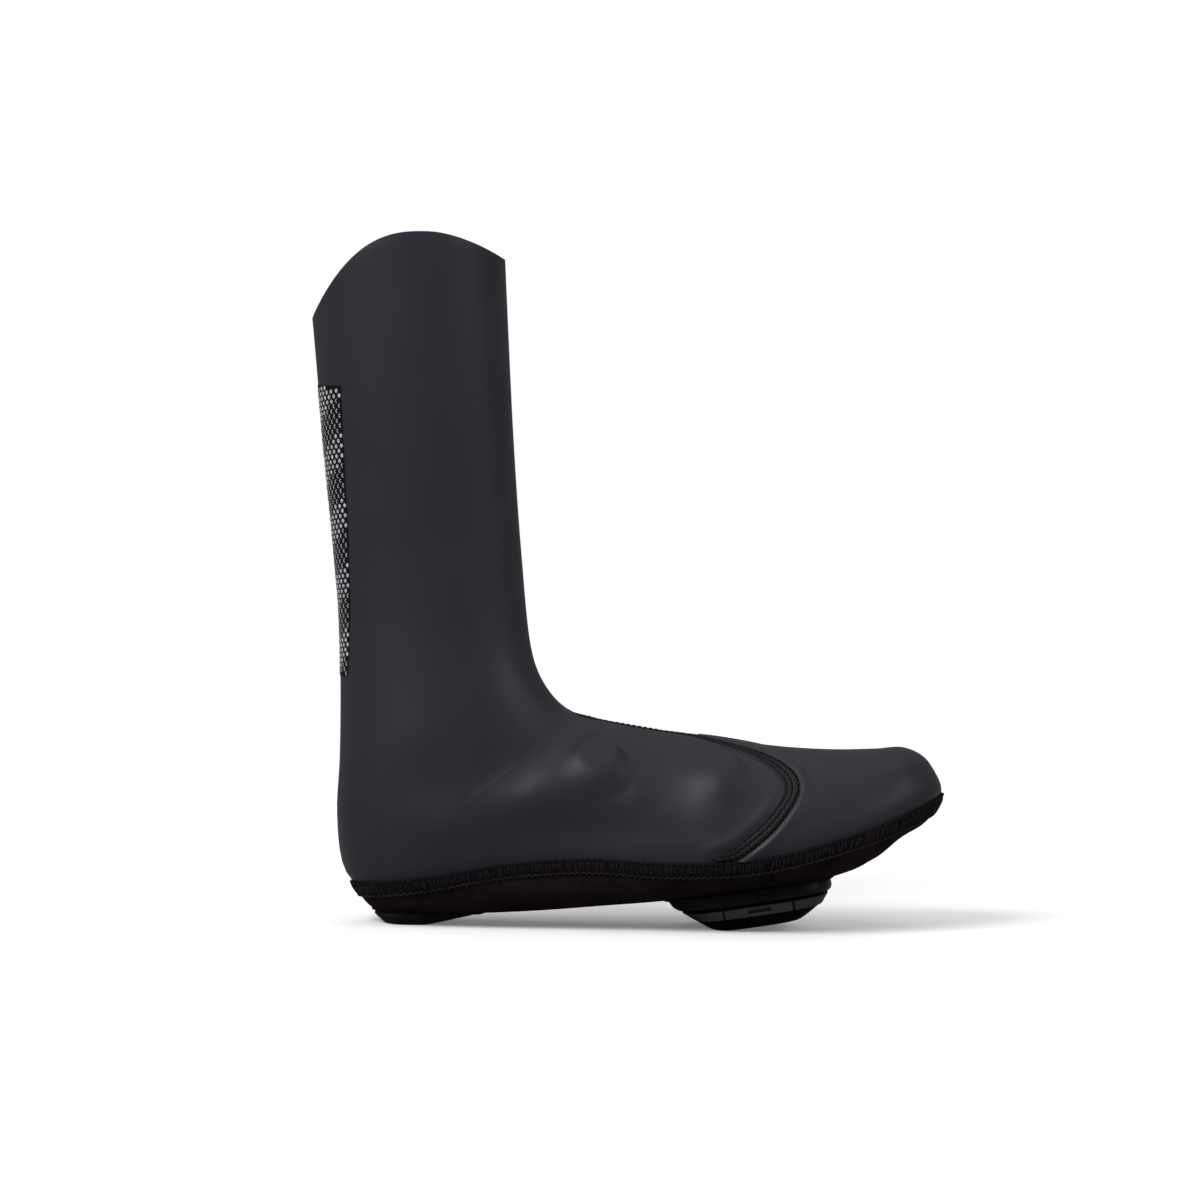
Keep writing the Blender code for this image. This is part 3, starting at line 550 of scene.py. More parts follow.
def scuffGroup():
    # fine scratches that run mostly one way, broken up by a larger noise
    tree, given, out = newGroup(
        "fineScuffs", {"Vector": "Vector", "Scale": "Float", "Amount": "Float"}, {"Mask": "Float"}
    )
    stretch = addNode(
        tree, "Mapping", Vector=given["Vector"],
        Scale=groupLook["scuffStretch"], Rotation=groupLook["scuffTurn"],
    )
    lines = addNode(tree, "TexNoise", Vector=stretch.outputs["Vector"], Scale=given["Scale"])
    patches = addNode(tree, "TexNoise", Vector=given["Vector"], Scale=groupLook["scuffPatches"])
    sharp = calc(tree, "GREATER_THAN", lines.outputs["Fac"], groupLook["scuffLevel"])
    soft = calc(tree, "MULTIPLY", sharp, patches.outputs["Fac"])
    tree.links.new(calc(tree, "MULTIPLY", soft, given["Amount"]), out["Mask"])
    return tree


softMottle, plainWeave, fineScuffs = mottleGroup(), weaveGroup(), scuffGroup()


# Finishes
def newMaterial(name, **sockets):
    made = bpy.data.materials.new(name)
    made.use_nodes = True
    shader = made.node_tree.nodes["Principled BSDF"]
    for label, value in sockets.items():
        shader.inputs[label.replace("_", " ")].default_value = value
    return made, made.node_tree, shader


def coordinates(tree, mapName=None):
    if mapName:
        return addNode(tree, "UVMap", {"uv_map": mapName}).outputs["UV"]
    return addNode(tree, "TexCoord").outputs["Object"]


def useGroup(tree, group, vector, **values):
    values = {label: (*v, 1.0) if isinstance(v, tuple) else v for label, v in values.items()}
    return addNode(tree, "Group", {"node_tree": group}, Vector=vector, **values)


def noiseHeight(tree, vector, scale):
    noise = addNode(tree, "TexNoise", Vector=vector, Scale=scale, Detail=3.0, Roughness=0.55)
    return noise.outputs["Fac"]


def addBump(tree, shader, heights, strength, distance):
    below = {}
    for height in heights:
        bump = addNode(tree, "Bump", Strength=strength, Distance=distance, Height=height, **below)
        below = {"Normal": bump.outputs["Normal"]}
    tree.links.new(below["Normal"], shader.inputs["Normal"])


def spreadTo(tree, value, low, high, socket, **given):
    spread = addNode(tree, "MapRange", Value=value, To_Min=low, To_Max=high, **given)
    tree.links.new(spread.outputs["Result"], socket)


def mottled(tree, shader, vector, dark, light, scale, detail=3.0):
    tone = useGroup(tree, softMottle, vector, Scale=scale, Detail=detail, Dark=dark, Light=light)
    tree.links.new(tone.outputs["Color"], shader.inputs["Base Color"])


skinLook = {
    "shine": 0.26,
    "mottle": 11.0,
    # painted shade: the colour is darker near the sole and paler up the shaft, standing in for the shade on
    # the lower foot; tones, and the heights they belong to
    "paintedShadeTones": (0.87, 1.08),
    "paintedShadeHeights": (0.045, 0.150),
    "patches": 38.0,
    "patchDetail": 4.0,
    "roughness": (0.44, 0.54),
    # pores and a coarser skin, then strength and distance of their bumps
    "grain": (2600.0, 420.0),
    "bump": (0.16, 0.00012),
}
threadLook = {"shine": 0.14, "mottle": 350.0, "twist": (2.0, 900.0, 1.0), "bump": (0.5, 0.0001)}


def neopreneSkin(name, dark, light):
    made, tree, shader = newMaterial(name, Specular_IOR_Level=skinLook["shine"])
    place = coordinates(tree)
    tone = useGroup(tree, softMottle, place, Scale=skinLook["mottle"], Detail=3.0, Dark=dark, Light=light)
    # painted shade: the mottled colour is scaled darker near the sole and paler up the shaft, standing in
    # for shade on the lower foot
    height = addNode(tree, "SeparateXYZ", Vector=place).outputs["Z"]
    shadedTone = addNode(tree, "VectorMath", {"operation": "SCALE"}, Vector=tone.outputs["Color"])
    low, high = skinLook["paintedShadeHeights"]
    spreadTo(tree, height, *skinLook["paintedShadeTones"], shadedTone.inputs["Scale"], From_Min=low, From_Max=high)
    tree.links.new(shadedTone.outputs["Vector"], shader.inputs["Base Color"])
    patches = useGroup(tree, softMottle, place, Scale=skinLook["patches"], Detail=skinLook["patchDetail"])
    spreadTo(tree, patches.outputs["Value"], *skinLook["roughness"], shader.inputs["Roughness"])
    heights = [noiseHeight(tree, place, scale) for scale in skinLook["grain"]]
    addBump(tree, shader, heights, *skinLook["bump"])
    return made


def sewingThread(name, dark, light, roughness=0.6):
    made, tree, shader = newMaterial(name, Roughness=roughness, Specular_IOR_Level=threadLook["shine"])
    mottled(tree, shader, coordinates(tree), dark, light, threadLook["mottle"])
    stretch = addNode(tree, "Mapping", Vector=coordinates(tree, "thread"), Scale=threadLook["twist"])
    twist = addNode(tree, "TexWave", Vector=stretch.outputs["Vector"], Scale=1.0)
    addBump(tree, shader, [twist.outputs["Fac"]], *threadLook["bump"])
    return made


def mottledFinish(name, dark, light, mottle, bump, grain=(), weave=None, scuffs=None, **sockets):
    # mottle: scale and detail; bump: strength and distance; grain: noise scales; weave: pitch in metres
    made, tree, shader = newMaterial(name, **sockets)
    place = coordinates(tree)
    mottled(tree, shader, place, dark, light, *mottle)
    heights = []
    if weave:
        cloth = useGroup(tree, plainWeave, coordinates(tree, "cloth"), Pitch=weave)
        heights.append(cloth.outputs["Height"])
    heights.extend(noiseHeight(tree, place, scale) for scale in grain)
    if scuffs:
        scale, amount, low, high = scuffs  # low and high: roughness between and in the scratches
        mask = useGroup(tree, fineScuffs, place, Scale=scale, Amount=amount).outputs["Mask"]
        spreadTo(tree, mask, low, high, shader.inputs["Roughness"])
        heights.append(mask)
    addBump(tree, shader, heights, *bump)
    return made


def mouldedNylon(name, dark, light, low, high, shine):
    return mottledFinish(
        name, dark, light, (140.0, 5.0), (0.22, 0.00015), (2200.0,), scuffs=(520.0, 1.0, low, high),
        Specular_IOR_Level=shine,
    )


finish = {
    "skin": neopreneSkin("neopreneSkin", (0.0182, 0.0169, 0.0236), (0.0236, 0.0219, 0.0304)),
    "ridge": neopreneSkin("seamRidge", (0.0120, 0.0111, 0.0152), (0.0168, 0.0156, 0.0210)),
    "lining": mottledFinish(
        "fleeceLining", (0.012, 0.012, 0.013), (0.030, 0.029, 0.031), (900.0, 2.0), (0.6, 0.0004),
        (1100.0, 3200.0), Roughness=0.95, Specular_IOR_Level=0.2, Sheen_Weight=0.25,
    ),
    "edge": mottledFinish(
        "foamEdge", (0.030, 0.029, 0.033), (0.055, 0.054, 0.058), (1500.0,), (0.5, 0.0002),
        (4200.0,), Roughness=0.85, Specular_IOR_Level=0.25,
    ),
    "tape": mottledFinish(
        "seamTape", (0.0024, 0.0018, 0.0024), (0.0064, 0.0050, 0.0062), (700.0,), (0.5, 0.0003),
        (2400.0,), Roughness=0.82, Specular_IOR_Level=0.05,
    ),
    "toeThread": sewingThread("toeThread", (0.0010, 0.0009, 0.0011), (0.0030, 0.0027, 0.0032)),
    "soleThread": sewingThread("soleThread", (0.0036, 0.0030, 0.0038), (0.0115, 0.0100, 0.0120)),
    # painted highlight: the looper thread is real, but its colour is paler than the other threads, standing
    # in for the glints along the band's lower edge
    "looperThreadAndGlint": sewingThread("looperThreadAndGlint", (0.0090, 0.0074, 0.0088), (0.0235, 0.0205, 0.0228), 0.5),
    "sole": mottledFinish(
        "soleCloth", (0.0080, 0.0044, 0.0064), (0.0180, 0.0108, 0.0146), (60.0, 6.0), (0.5, 0.0003),
        (500.0,), weave=0.0008, Roughness=0.88, Specular_IOR_Level=0.03,
    ),
    "insole": mottledFinish(
        "insoleCloth", (0.014, 0.014, 0.015), (0.026, 0.026, 0.027), (220.0,), (0.6, 0.0003),
        weave=0.0011, Roughness=0.9, Specular_IOR_Level=0.25,
    ),
    "film": mottledFinish(
        "printFilm", (0.0036, 0.0034, 0.0044), (0.0056, 0.0053, 0.0068), (40.0,), (0.1, 0.0001),
        (2600.0,), Roughness=0.6, Specular_IOR_Level=0.1,
    ),
    "ink": mottledFinish(
        "reflectiveInk", (0.42, 0.42, 0.44), (0.60, 0.60, 0.62), (300.0,), (0.4, 0.0001),
        (9000.0,), Roughness=0.5, Metallic=0.2, Specular_IOR_Level=0.5,
    ),
    "heel": mottledFinish(
        "heelRubber", (0.0044, 0.0040, 0.0050), (0.0104, 0.0096, 0.0116), (160.0, 5.0), (0.35, 0.0002),
        (1500.0,), scuffs=(420.0, 0.6, 0.62, 0.82), Specular_IOR_Level=0.07,
    ),
    "base": mouldedNylon(
        "cleatBase", (0.0040, 0.0042, 0.0058), (0.0076, 0.0080, 0.0106), 0.34, 0.55, 0.08
    ),
    "nylon": mouldedNylon(
        "cleatNylon", (0.0340, 0.0332, 0.0392), (0.0470, 0.0458, 0.0540), 0.36, 0.55, 0.10
    ),
    "tread": mouldedNylon(
        "cleatTread", (0.0008, 0.0008, 0.0010), (0.0022, 0.0022, 0.0027), 0.5, 0.7, 0.03
    ),
    "steel": mottledFinish(
        "boltSteel", (0.16, 0.16, 0.165), (0.30, 0.30, 0.31), (260.0, 5.0), (0.2, 0.0001),
        scuffs=(900.0, 1.0, 0.32, 0.55), Metallic=1.0,
    ),
}
print("finishes made:", len(finish))


# Toe seam: where it runs, as girth per cent from the top ridge to the sole seam and x per cent of length
toeSeam = {
    "rearEdge": (
        (3.2, 37.6), (3.2, 45.0), (3.4, 51.5), (7.0, 56.3), (17.5, 61.6), (30.0, 68.0),
        (44.0, 71.7), (56.5, 73.1), (67.5, 72.1), (81.5, 68.6), (97.4, 61.4),
    ),
    "searchStart": 0.3 * lastEnd,
    "searchSteps": 26,
    # steps for slopes on the last, in row length and girth share
    "slopeSteps": (0.0008, 0.008),
    "width": 0.0072,
    "wall": 0.0007,
    "steps": 150,
    "columns": 16,
    "lowEnd": 0.985,
    # sewn rows, the grooves they pull, their black tape and the rim, as shares of the width
    "rows": (0.13, 0.50, 0.87),
    "grooveHalf": 0.060,
    "darkHalf": 0.07,
    "rim": 0.07,
    "height": 0.00105,
    "groove": 0.00045,
    "sunk": 0.0003,
    # the medial tape gets its middle row where more than this share of its width shows
    "forked": 0.9,
    "stitch": 0.0021,
    "stitchStart": 0.0005,
    "stitchPoints": 5,
    "pitch": 0.0027,
    "lift": 0.0001,
    "thread": (0.0013, 0.0010),
    "crossing": (0.0005, 0.0004),
    "crossingSides": 5,
    "crossingStart": 0.0010,
    "crossingLean": 0.0007,
    # the upper end sinks in over this length and is sewn from a share of it on
    "fade": 0.012,
    "fadeSunk": 0.0002,
    "sewnFrom": 0.7,
}


def surfaceFrame(row, side, girth):
    rowStep, girthStep = toeSeam["slopeSteps"]
    low, high = max(girth - girthStep, 0.0), min(girth + girthStep, 1.0)
    before, after = upperPoint(row - rowStep, side, girth), upperPoint(row + rowStep, side, girth)
    along = (after - before) / (2 * rowStep)
    across = (upperPoint(row, side, high) - upperPoint(row, side, low)) / (high - low)
    return upperPoint(row, side, girth), along, across, unit(np.cross(along, across) * side)


def toeSeamEdges(side):
    stations = [[girth / 100, x * last["length"] / 100] for girth, x in toeSeam["rearEdge"]]
    path = smoothCurve(range(len(stations)), stations)
    fine = np.array([path(at) for at in np.linspace(0.0, len(stations) - 1, toeSeam["steps"] + 1)])
    rows = []
    for girth, x in fine:
        def behind(row):
            return x - upperPoint(row, side, girth)[0]
        rows.append(solve(behind, toeSeam["searchStart"], lastEnd, toeSeam["searchSteps"]))
    frames = [surfaceFrame(row, side, girth) for row, (girth, _) in zip(rows, fine)]
    edges = []
    for k, (_, along, across, normal) in enumerate(frames):
        run = frames[min(k + 1, len(frames) - 1)][0] - frames[max(k - 1, 0)][0]
        inward = unit(np.cross(run, normal) * side) * toeSeam["width"]
        outer = np.array([rows[k], fine[k][0]])
        shift = np.array([inward @ along / (along @ along), inward @ across / (across @ across)])
        # only a part of the width shows where it would pass the top ridge
        part = -outer[1] / shift[1] if outer[1] + shift[1] < 0 else 1.0
        inner = outer + shift * part
        inner[1] = 0.0 if part < 1.0 else min(max(inner[1], 0.0), toeSeam["lowEnd"])
        edges.append((outer, inner, part))
    return edges


toeEdges = {side: toeSeamEdges(side) for side in (lateral, medial)}
toePaths, toeFronts = {}, {}
for seamSide, edges in toeEdges.items():
    # the middle of the whole width, or the top ridge where less than half of it shows
    middles = [outer + 0.5 / max(part, 0.5) * (inner - outer) for outer, inner, part in edges]
    toePaths[seamSide] = np.array([upperPoint(row, seamSide, max(girth, 0.0)) for row, girth in middles])
    fronts = [inner for outer, inner, part in edges if part == 1.0]
    toeFronts[seamSide] = np.array([upperPoint(row, seamSide, girth) for row, girth in fronts])
print("toe seam laid out")


# Upper: one wall of neoprene from the collar to the toe
upperPiece = {
    "columns": {lateral: 116, medial: 60},
    "collarRows": 12,
    "collarSearch": 30,
    "shaftRows": 56,
    "footRows": 176,
    "wall": 0.0025,
    "edgeRound": 0.0006,
    "edgeAngle": 50,
    # how far round a side its folds reach: start and gain with the outward direction
    "foldFacing": (0.15, 1.4),
}
# soft troughs and ridges of each side: path in x and z, half width, depth (ridges above zero), rise
softFolds = {
    lateral: {
        "ankleBone": (((0.044, 0.088), (0.058, 0.080)), 0.020, 0.0012, 0.0),
        "sideBulge": (
            ((0.020, 0.047), (0.050, 0.050), (0.088, 0.057), (0.123, 0.066), (0.140, 0.066)),
            0.0170, 0.0042, 0.040,
        ),
        "dialRidge": (
            ((0.062, 0.062), (0.092, 0.0675), (0.105, 0.0735), (0.113, 0.080)), 0.0118, 0.0027, 0.040,
        ),
        "underDial": (((0.092, 0.048), (0.115, 0.049), (0.135, 0.048)), 0.0100, -0.0010, 0.0),
        "betweenDials": (((0.1450, 0.082), (0.1465, 0.072), (0.1480, 0.062)), 0.0090, -0.0006, 0.0),
        "secondRidge": (((0.174, 0.0755), (0.179, 0.0765)), 0.0115, 0.0018, 0.0),
        "foreRidge": (((0.181, 0.068), (0.178, 0.062)), 0.0105, 0.0012, 0.0),
    },
    medial: {
        "ankleBone": (((0.050, 0.098), (0.060, 0.092)), 0.018, 0.0022, 0.0),
        "archHollow": (((0.100, 0.052), (0.125, 0.048), (0.150, 0.047)), 0.0130, -0.0018, 0.0),
        "throatFold": (((0.092, 0.112), (0.078, 0.100), (0.070, 0.086)), 0.0070, -0.0010, 0.0),
        "instepRidge": (((0.098, 0.088), (0.120, 0.080), (0.150, 0.073)), 0.0090, 0.0010, 0.0),
        "ballBulge": (((0.182, 0.054), (0.196, 0.056)), 0.0140, 0.0014, 0.0),
    },
}
# closure dials of the shoe inside: x, z, radius, height, softness above and below, crease over the top
dials = (
    (0.1232, 0.0782, 0.0106, 0.0031, 0.15, 0.72, 0.0007),
    (0.1815, 0.0754, 0.0090, 0.0014, 0.16, 0.80, 0.0007),
)
dialPiece = {
    "aspect": 1.18,
    # the disc leans to the rear, so it stands out least there
    "lean": 0.62,
    "leanWay": (0.95, -0.3),
    "leanMost": 1.2,
    "dome": 0.10,
    "creaseWidth": 0.0010,
    "creaseOut": 0.8,
    "creaseFrom": 0.62,
    "creaseOver": 0.22,
}
# how the seams pull the neoprene in and puff it up beside them
seamPuff = {
    "start": 0.004,
    "pull": 0.0007,
    "pullPast": 0.0008,
    "pullPower": 6,
    "puff": 0.0004,
    "reach": 0.0026,
    "frontPuff": 0.0008,
    "frontReach": 0.0020,
    "frontRise": 0.0018,
    "soleZone": 0.03,
    "solePull": 0.003,
    "solePuff": (0.008, 0.006),
}


def collarRing(side, shares):
    edges = []
    for share in shares:
        def overEdge(row):
            point = atShares(sideLine(row, side), [share])[0]
            return point[2] - collarHeight(point[0])
        edges.append(solve(overEdge, 0.0, collarRow, upperPiece["collarSearch"]))
    return np.array(edges)


def upperPoints():
    shares = {side: np.linspace(0.0, 1.0, count + 1) for side, count in upperPiece["columns"].items()}
    edges = {side: collarRing(side, shares[side]) for side in (lateral, medial)}
    rows = []
    for t in np.arange(upperPiece["collarRows"]) / upperPiece["collarRows"]:
        rows.append(overTop(lambda side: np.array([
            atShares(sideLine(edge + (collarRow - edge) * t, side), [share])[0]
            for edge, share in zip(edges[side], shares[side])
        ])))
    for row in evenRows(collarRow, heelRow, upperPiece["shaftRows"], shaftMeasure):
        rows.append(overTop(lambda side: atShares(sideLine(row, side), shares[side])))
    foot = evenRows(heelRow, lastEnd, upperPiece["footRows"], footMeasure)[1:-1]
    for row in foot:
        rows.append(overTop(lambda side: atShares(upperLine(row, side), shares[side])))
    tip = np.array([tipValues[0], tipValues[6], (tipValues[1] + tipValues[3]) / 2])
    rows.append(np.tile(tip, (len(rows[0]), 1)))
    return np.array(rows), foot, tip


def dialRelief(x, z):
    total = np.zeros(len(x))
    leanX, leanZ = dialPiece["leanWay"]
    most = dialPiece["leanMost"]
    for dialX, dialZ, radius, height, softAbove, softBelow, crease in dials:
        dx, dz = (x - dialX) / dialPiece["aspect"], z - dialZ
        away = np.hypot(dx, dz) / radius
        upward = 0.5 + 0.5 * dz / np.maximum(np.hypot(dx, dz), 1e-9)
        soft = softBelow + (softAbove - softBelow) * ease(upward)
        lean = 1 + dialPiece["lean"] * np.clip((leanX * dx + leanZ * dz) / radius, -most, most)
        disc = height * lean * ease((1 + soft - away) / (2 * soft))
        total += disc * (1 - dialPiece["dome"] * np.minimum(away, 1) ** 2)
        rim = (away - 1.0 - dialPiece["creaseOut"] * softAbove) * radius
        over = ease((upward - dialPiece["creaseFrom"]) / dialPiece["creaseOver"])
        total -= crease * over * bell(rim, dialPiece["creaseWidth"])
    return total


def foldRelief(points, normals):
    relief = np.zeros(len(points))
    start, gain = upperPiece["foldFacing"]
    for side, folds in softFolds.items():
        facing = ease(start + side * normals[:, 1] * gain)
        for path, halfWidth, depth, rise in folds.values():
            grown = ease((points[:, 0] - path[0][0]) / rise) if rise else 1.0
            relief += facing * grown * depth * bell(nearPath(points[:, [0, 2]], path), halfWidth)
        if side == lateral:
            relief += facing * dialRelief(points[:, 0], points[:, 2])
    return relief


def seamRelief(points):
    half = toeSeam["width"] / 2
    pull, puff, reach = seamPuff["pull"], seamPuff["puff"], seamPuff["reach"]
    away = np.minimum(*(nearPath(points, path[::2]) for path in toePaths.values()))
    sewn = ease((points[:, 0] - toePaths[lateral][0][0] - seamPuff["start"]) / toeSeam["fade"])
    relief = -sewn * pull * np.exp(-((away / (half + seamPuff["pullPast"])) ** seamPuff["pullPower"]))
    relief += sewn * puff * bell(away - half - reach, reach)
    front = np.minimum(*(nearPath(points, path[::2]) for path in toeFronts.values()))
    rim = bell(front - seamPuff["frontReach"], seamPuff["frontReach"])
    relief += seamPuff["frontPuff"] * rim * ease((away - half) / seamPuff["frontRise"])
    above = points[:, 2] - seamHeight(points[:, 0])
    low = above < seamPuff["soleZone"]
    puffAt, puffHalf = seamPuff["solePuff"]
    relief[low] -= pull * bell(above[low], seamPuff["solePull"])
    relief[low] += puff * bell(above[low] - puffAt, puffHalf)
    return relief


def buildUpper():
    points, foot, tip = upperPoints()
    piece = gridPiece("neopreneUpper", points)
    mergePoints(piece)
    places = getPlaces(piece.data)
    outs = np.zeros(places.size, np.float32)
    piece.data.vertex_normals.foreach_get("vector", outs)
    outs = outs.reshape(-1, 3)
    relief = foldRelief(places - stand, outs) + seamRelief(places - stand)
    moved = places + outs * relief[:, None]
    setPlaces(piece.data, moved)
    return piece, foot, tip, moved - outs * upperPiece["wall"]


upper, footRows, toeTip, liningPlaces = buildUpper()
print("upper shaped:", len(upper.data.polygons), "faces")


# Sole panel: the cloth under the foot, from seam to seam
solePiece = {
    "sideColumns": 30,
    "wall": 0.0015,
    "clearance": 0.0005,
    "openingSides": 64,
    "hem": (0.00198, 0.00144),
    "hemSides": 8,
    "hemSearch": 161,
    "rayStart": -0.1,
    "hemPoints": 141,
    # folds across the toe spring and one along the heel: path in x and z, half width, depth
    "folds": (
        (((0.2525, 0.030), (0.2575, 0.043), (0.2630, 0.054)), 0.0026, -0.0019),
        (((0.2460, 0.030), (0.2510, 0.043), (0.2570, 0.053)), 0.0045, 0.0013),
        (((0.0130, 0.0120), (0.0300, 0.0125), (0.0600, 0.0150)), 0.0030, -0.0005),
    ),
    # small gathers below the seam: depth, pitch, a slower beat with its shift, drop and half width
    "gather": 0.00018,
    "gatherPitch": 0.0085,
    "gatherBeat": (3.7, 1.0),
    "gatherZone": (0.009, 0.006),
}


def solePoints():
    shares = np.linspace(0.0, 1.0, solePiece["sideColumns"] + 1)
    heelBack = lastAt(heelRow)
    heelPoint = np.array([heelBack[2], heelBack[6], heelBack[3]])
    rows = [np.tile(heelPoint, (2 * len(shares) - 1, 1))]
    for row in footRows:
        rows.append(roundBack(lambda side: atShares(soleLine(row, side), shares)))
    rows.append(np.tile(toeTip, (len(rows[0]), 1)))
    return np.array(rows)


def soleRelief(points, outs):
    flat = points.reshape(-1, 3)
    facing = np.abs(outs.reshape(-1, 3)[:, 1])
    relief = np.zeros(len(flat))
    for path, halfWidth, depth in solePiece["folds"]:
        relief += facing * depth * bell(nearPath(flat[:, [0, 2]], path), halfWidth)
    below = seamHeight(flat[:, 0]) - flat[:, 2]
    turn = 2 * math.pi * flat[:, 0] / solePiece["gatherPitch"]
    beat, shift = solePiece["gatherBeat"]
    drop, halfDrop = solePiece["gatherZone"]
    wave = np.sin(turn) * np.sin(turn / beat + shift)
    relief += solePiece["gather"] * facing * wave * bell(below - drop, halfDrop)
    return relief.reshape(*points.shape[:2], 1)


def buildSole():
    points = solePoints()
    outs = gridNormals(points)
    points = points + outs * soleRelief(points, outs)
    piece = gridPiece("soleCloth", points, clothMap(points, points.shape[1] // 2))
    mergePoints(piece)
    return piece, points


def surfaceTree(pieces):
    points, faces = [], []
    for piece in pieces:
        start = len(points)
        points.extend(getPlaces(piece.data) - stand)
        faces.extend([[start + i for i in face.vertices] for face in piece.data.polygons])
    return BVHTree.FromPolygons([Vector(p) for p in points], faces)


sole, soleGrid = buildSole()
outerSkin = surfaceTree([upper, sole])
print("sole shaped:", len(sole.data.polygons), "faces")


def snap(points):
    return np.array([outerSkin.find_nearest(Vector(p))[0] for p in points])


def withinRim(t, rim):
    return ease(t / rim) * ease((1 - t) / rim)


# Sole seam: an overlocked band around the whole edge
soleSeam = {
    "above": 0.0008,
    "below": 0.0070,
    "columns": 12,
    "steps": 230,
    "smoothing": 3,
    "wall": 0.0006,
    "height": 0.0009,
    "crown": 0.22,
    "rim": 0.10,
    "sunk": 0.0003,
    # uneven bars across the band: ends as shares of its height, each with its drift
    "seed": 11,
    "bar": (0.0008, 0.0007),
    "barPitch": 0.0016,
    "barDrift": 0.0004,
    "barMissing": 0.12,
    "barSlant": 0.0016,
    "barPivot": 0.45,
    "barTop": (0.12, 0.12),
    "barLow": (0.80, 0.22),
    "barPoints": 6,
    "barLift": 0.0001,
    # needle stitches along the upper edge
    "dash": (0.0010, 0.0008),
    "dashPitch": 0.0029,
    "dashFill": 0.8,
    "dashPlace": (0.07, 0.00005),
    "dashPoints": 5,
    # looper thread along the lower edge; its paler colour is partly a painted highlight
    "looper": (0.00055, 0.0005),
    "looperWave": 0.00035,
    "looperOver": 1.08,
    "looperPlace": (0.86, 0.0001),
    "looperPoints": 7,
    "looperSides": 5,
    "looperTaper": 0.6,
}


def levelLine(heightOf, side):
    start = solve(lambda row: backOver(row, heightOf), 0.0, heelSearchEnd)
    end = solve(
        lambda row: min(frontOver(row, heightOf), -backOver(row, heightOf)), toeSearchStart, lastEnd
    )
    rows = start + (end - start) * easedShares(last["linePoints"])
    line = np.array([splitAtHeight(sideLine(row, side), heightOf)[1][0] for row in rows])
    return atShares(line, np.linspace(0.0, 1.0, soleSeam["steps"] + 1))


def bandGrid():
    loops = []
    for drop in np.linspace(soleSeam["above"], -soleSeam["below"], soleSeam["columns"] + 1):
        loops.append(roundBack(lambda side: levelLine(lambda x: seamHeight(x) + drop, side))[:-1])
    points = np.stack(loops, axis=1)
    outs = gridNormals(points, closed=True)
    for _ in range(soleSeam["smoothing"]):
        outs = unit(outs + np.roll(outs, 1, axis=0) + np.roll(outs, -1, axis=0))
    return points, outs


def bandHeight(t):
    rim = withinRim(t, soleSeam["rim"])
    crown = 1 - soleSeam["crown"] * (1 - np.sin(math.pi * t))
    return soleSeam["height"] * rim * crown - soleSeam["sunk"] * (1 - rim)


bandPoints, bandOuts = (np.concatenate([grid, grid[:1]]) for grid in bandGrid())
bandShares = np.linspace(0.0, 1.0, soleSeam["columns"] + 1)
bandLength = lengthsAlong(bandPoints[:, soleSeam["columns"] // 2])


def onBand(along, share, lift):
    # place and outward direction on the band, at a length round it and a share of its height
    column = share * soleSeam["columns"]
    k = int(min(column, soleSeam["columns"] - 1))
    t = column - k
    ids = np.interp(along % bandLength[-1], bandLength, np.arange(len(bandLength)))
    i = int(min(ids, len(bandLength) - 2))
    s = ids - i

    def blend(grid):
        first = grid[i, k] * (1 - t) + grid[i, k + 1] * t
        second = grid[i + 1, k] * (1 - t) + grid[i + 1, k + 1] * t
        return first * (1 - s) + second * s

    out = unit(blend(bandOuts))
    return blend(bandPoints) + out * (bandHeight(share) + lift), out


def barRuns():
    rng = np.random.default_rng(soleSeam["seed"])
    drift, slantMost, lift = soleSeam["barDrift"], soleSeam["barSlant"], soleSeam["barLift"]
    top, topDrift = soleSeam["barTop"]
    low, lowDrift = soleSeam["barLow"]
    count = int(round(bandLength[-1] / soleSeam["barPitch"]))
    runs = []
    for k in range(count):
        if rng.random() < soleSeam["barMissing"]:
            continue
        start = k * bandLength[-1] / count + rng.uniform(-drift, drift)
        slant = rng.uniform(-slantMost, slantMost)
        first, end = top + rng.uniform(0.0, topDrift), low - rng.uniform(0.0, lowDrift)
        runs.append(asRun([
            onBand(start + slant * (s - soleSeam["barPivot"]), s, rng.uniform(-lift, lift))
            for s in np.linspace(first, end, soleSeam["barPoints"])
        ]))
    return runs


def dashFrom(start):
    steps = np.linspace(0, soleSeam["dashPitch"] * soleSeam["dashFill"], soleSeam["dashPoints"])
    return [onBand(start + step, *soleSeam["dashPlace"]) for step in steps]


def looperFrom(start):
    share, lift = soleSeam["looperPlace"]
    run = []
    for s in np.linspace(0, soleSeam["looperOver"], soleSeam["looperPoints"]):
        wave = soleSeam["looperWave"] / soleSeam["below"] * math.sin(2 * math.pi * s)
        run.append(onBand(start + s * soleSeam["dashPitch"], share + wave, lift))
    return run


def roundBand(runFrom):
    # one run for each stitch round the band
    count = int(round(bandLength[-1] / soleSeam["dashPitch"]))
    return [asRun(runFrom(k * bandLength[-1] / count)) for k in range(count)]


def buildSoleSeam():
    piece = gridPiece("soleSeamBand", bandPoints + bandOuts * bandHeight(bandShares)[None, :, None])
    mergePoints(piece)
    thicken(piece, soleSeam["wall"])
    smoothShade(piece)
    finishPiece(piece, ["tape"], ["sole_seam"])
    bars = threadTubes("soleSeamBars", barRuns(), *soleSeam["bar"])
    finishPiece(bars, ["soleThread"])
    dashes = threadTubes("soleSeamDashes", roundBand(dashFrom), *soleSeam["dash"])
    finishPiece(dashes, ["toeThread"])
    looper = threadTubes(
        "soleSeamLooper", roundBand(looperFrom), *soleSeam["looper"],
        soleSeam["looperSides"], soleSeam["looperTaper"],
    )
    finishPiece(looper, ["looperThreadAndGlint"])


buildSoleSeam()
print("sole seam sewn")


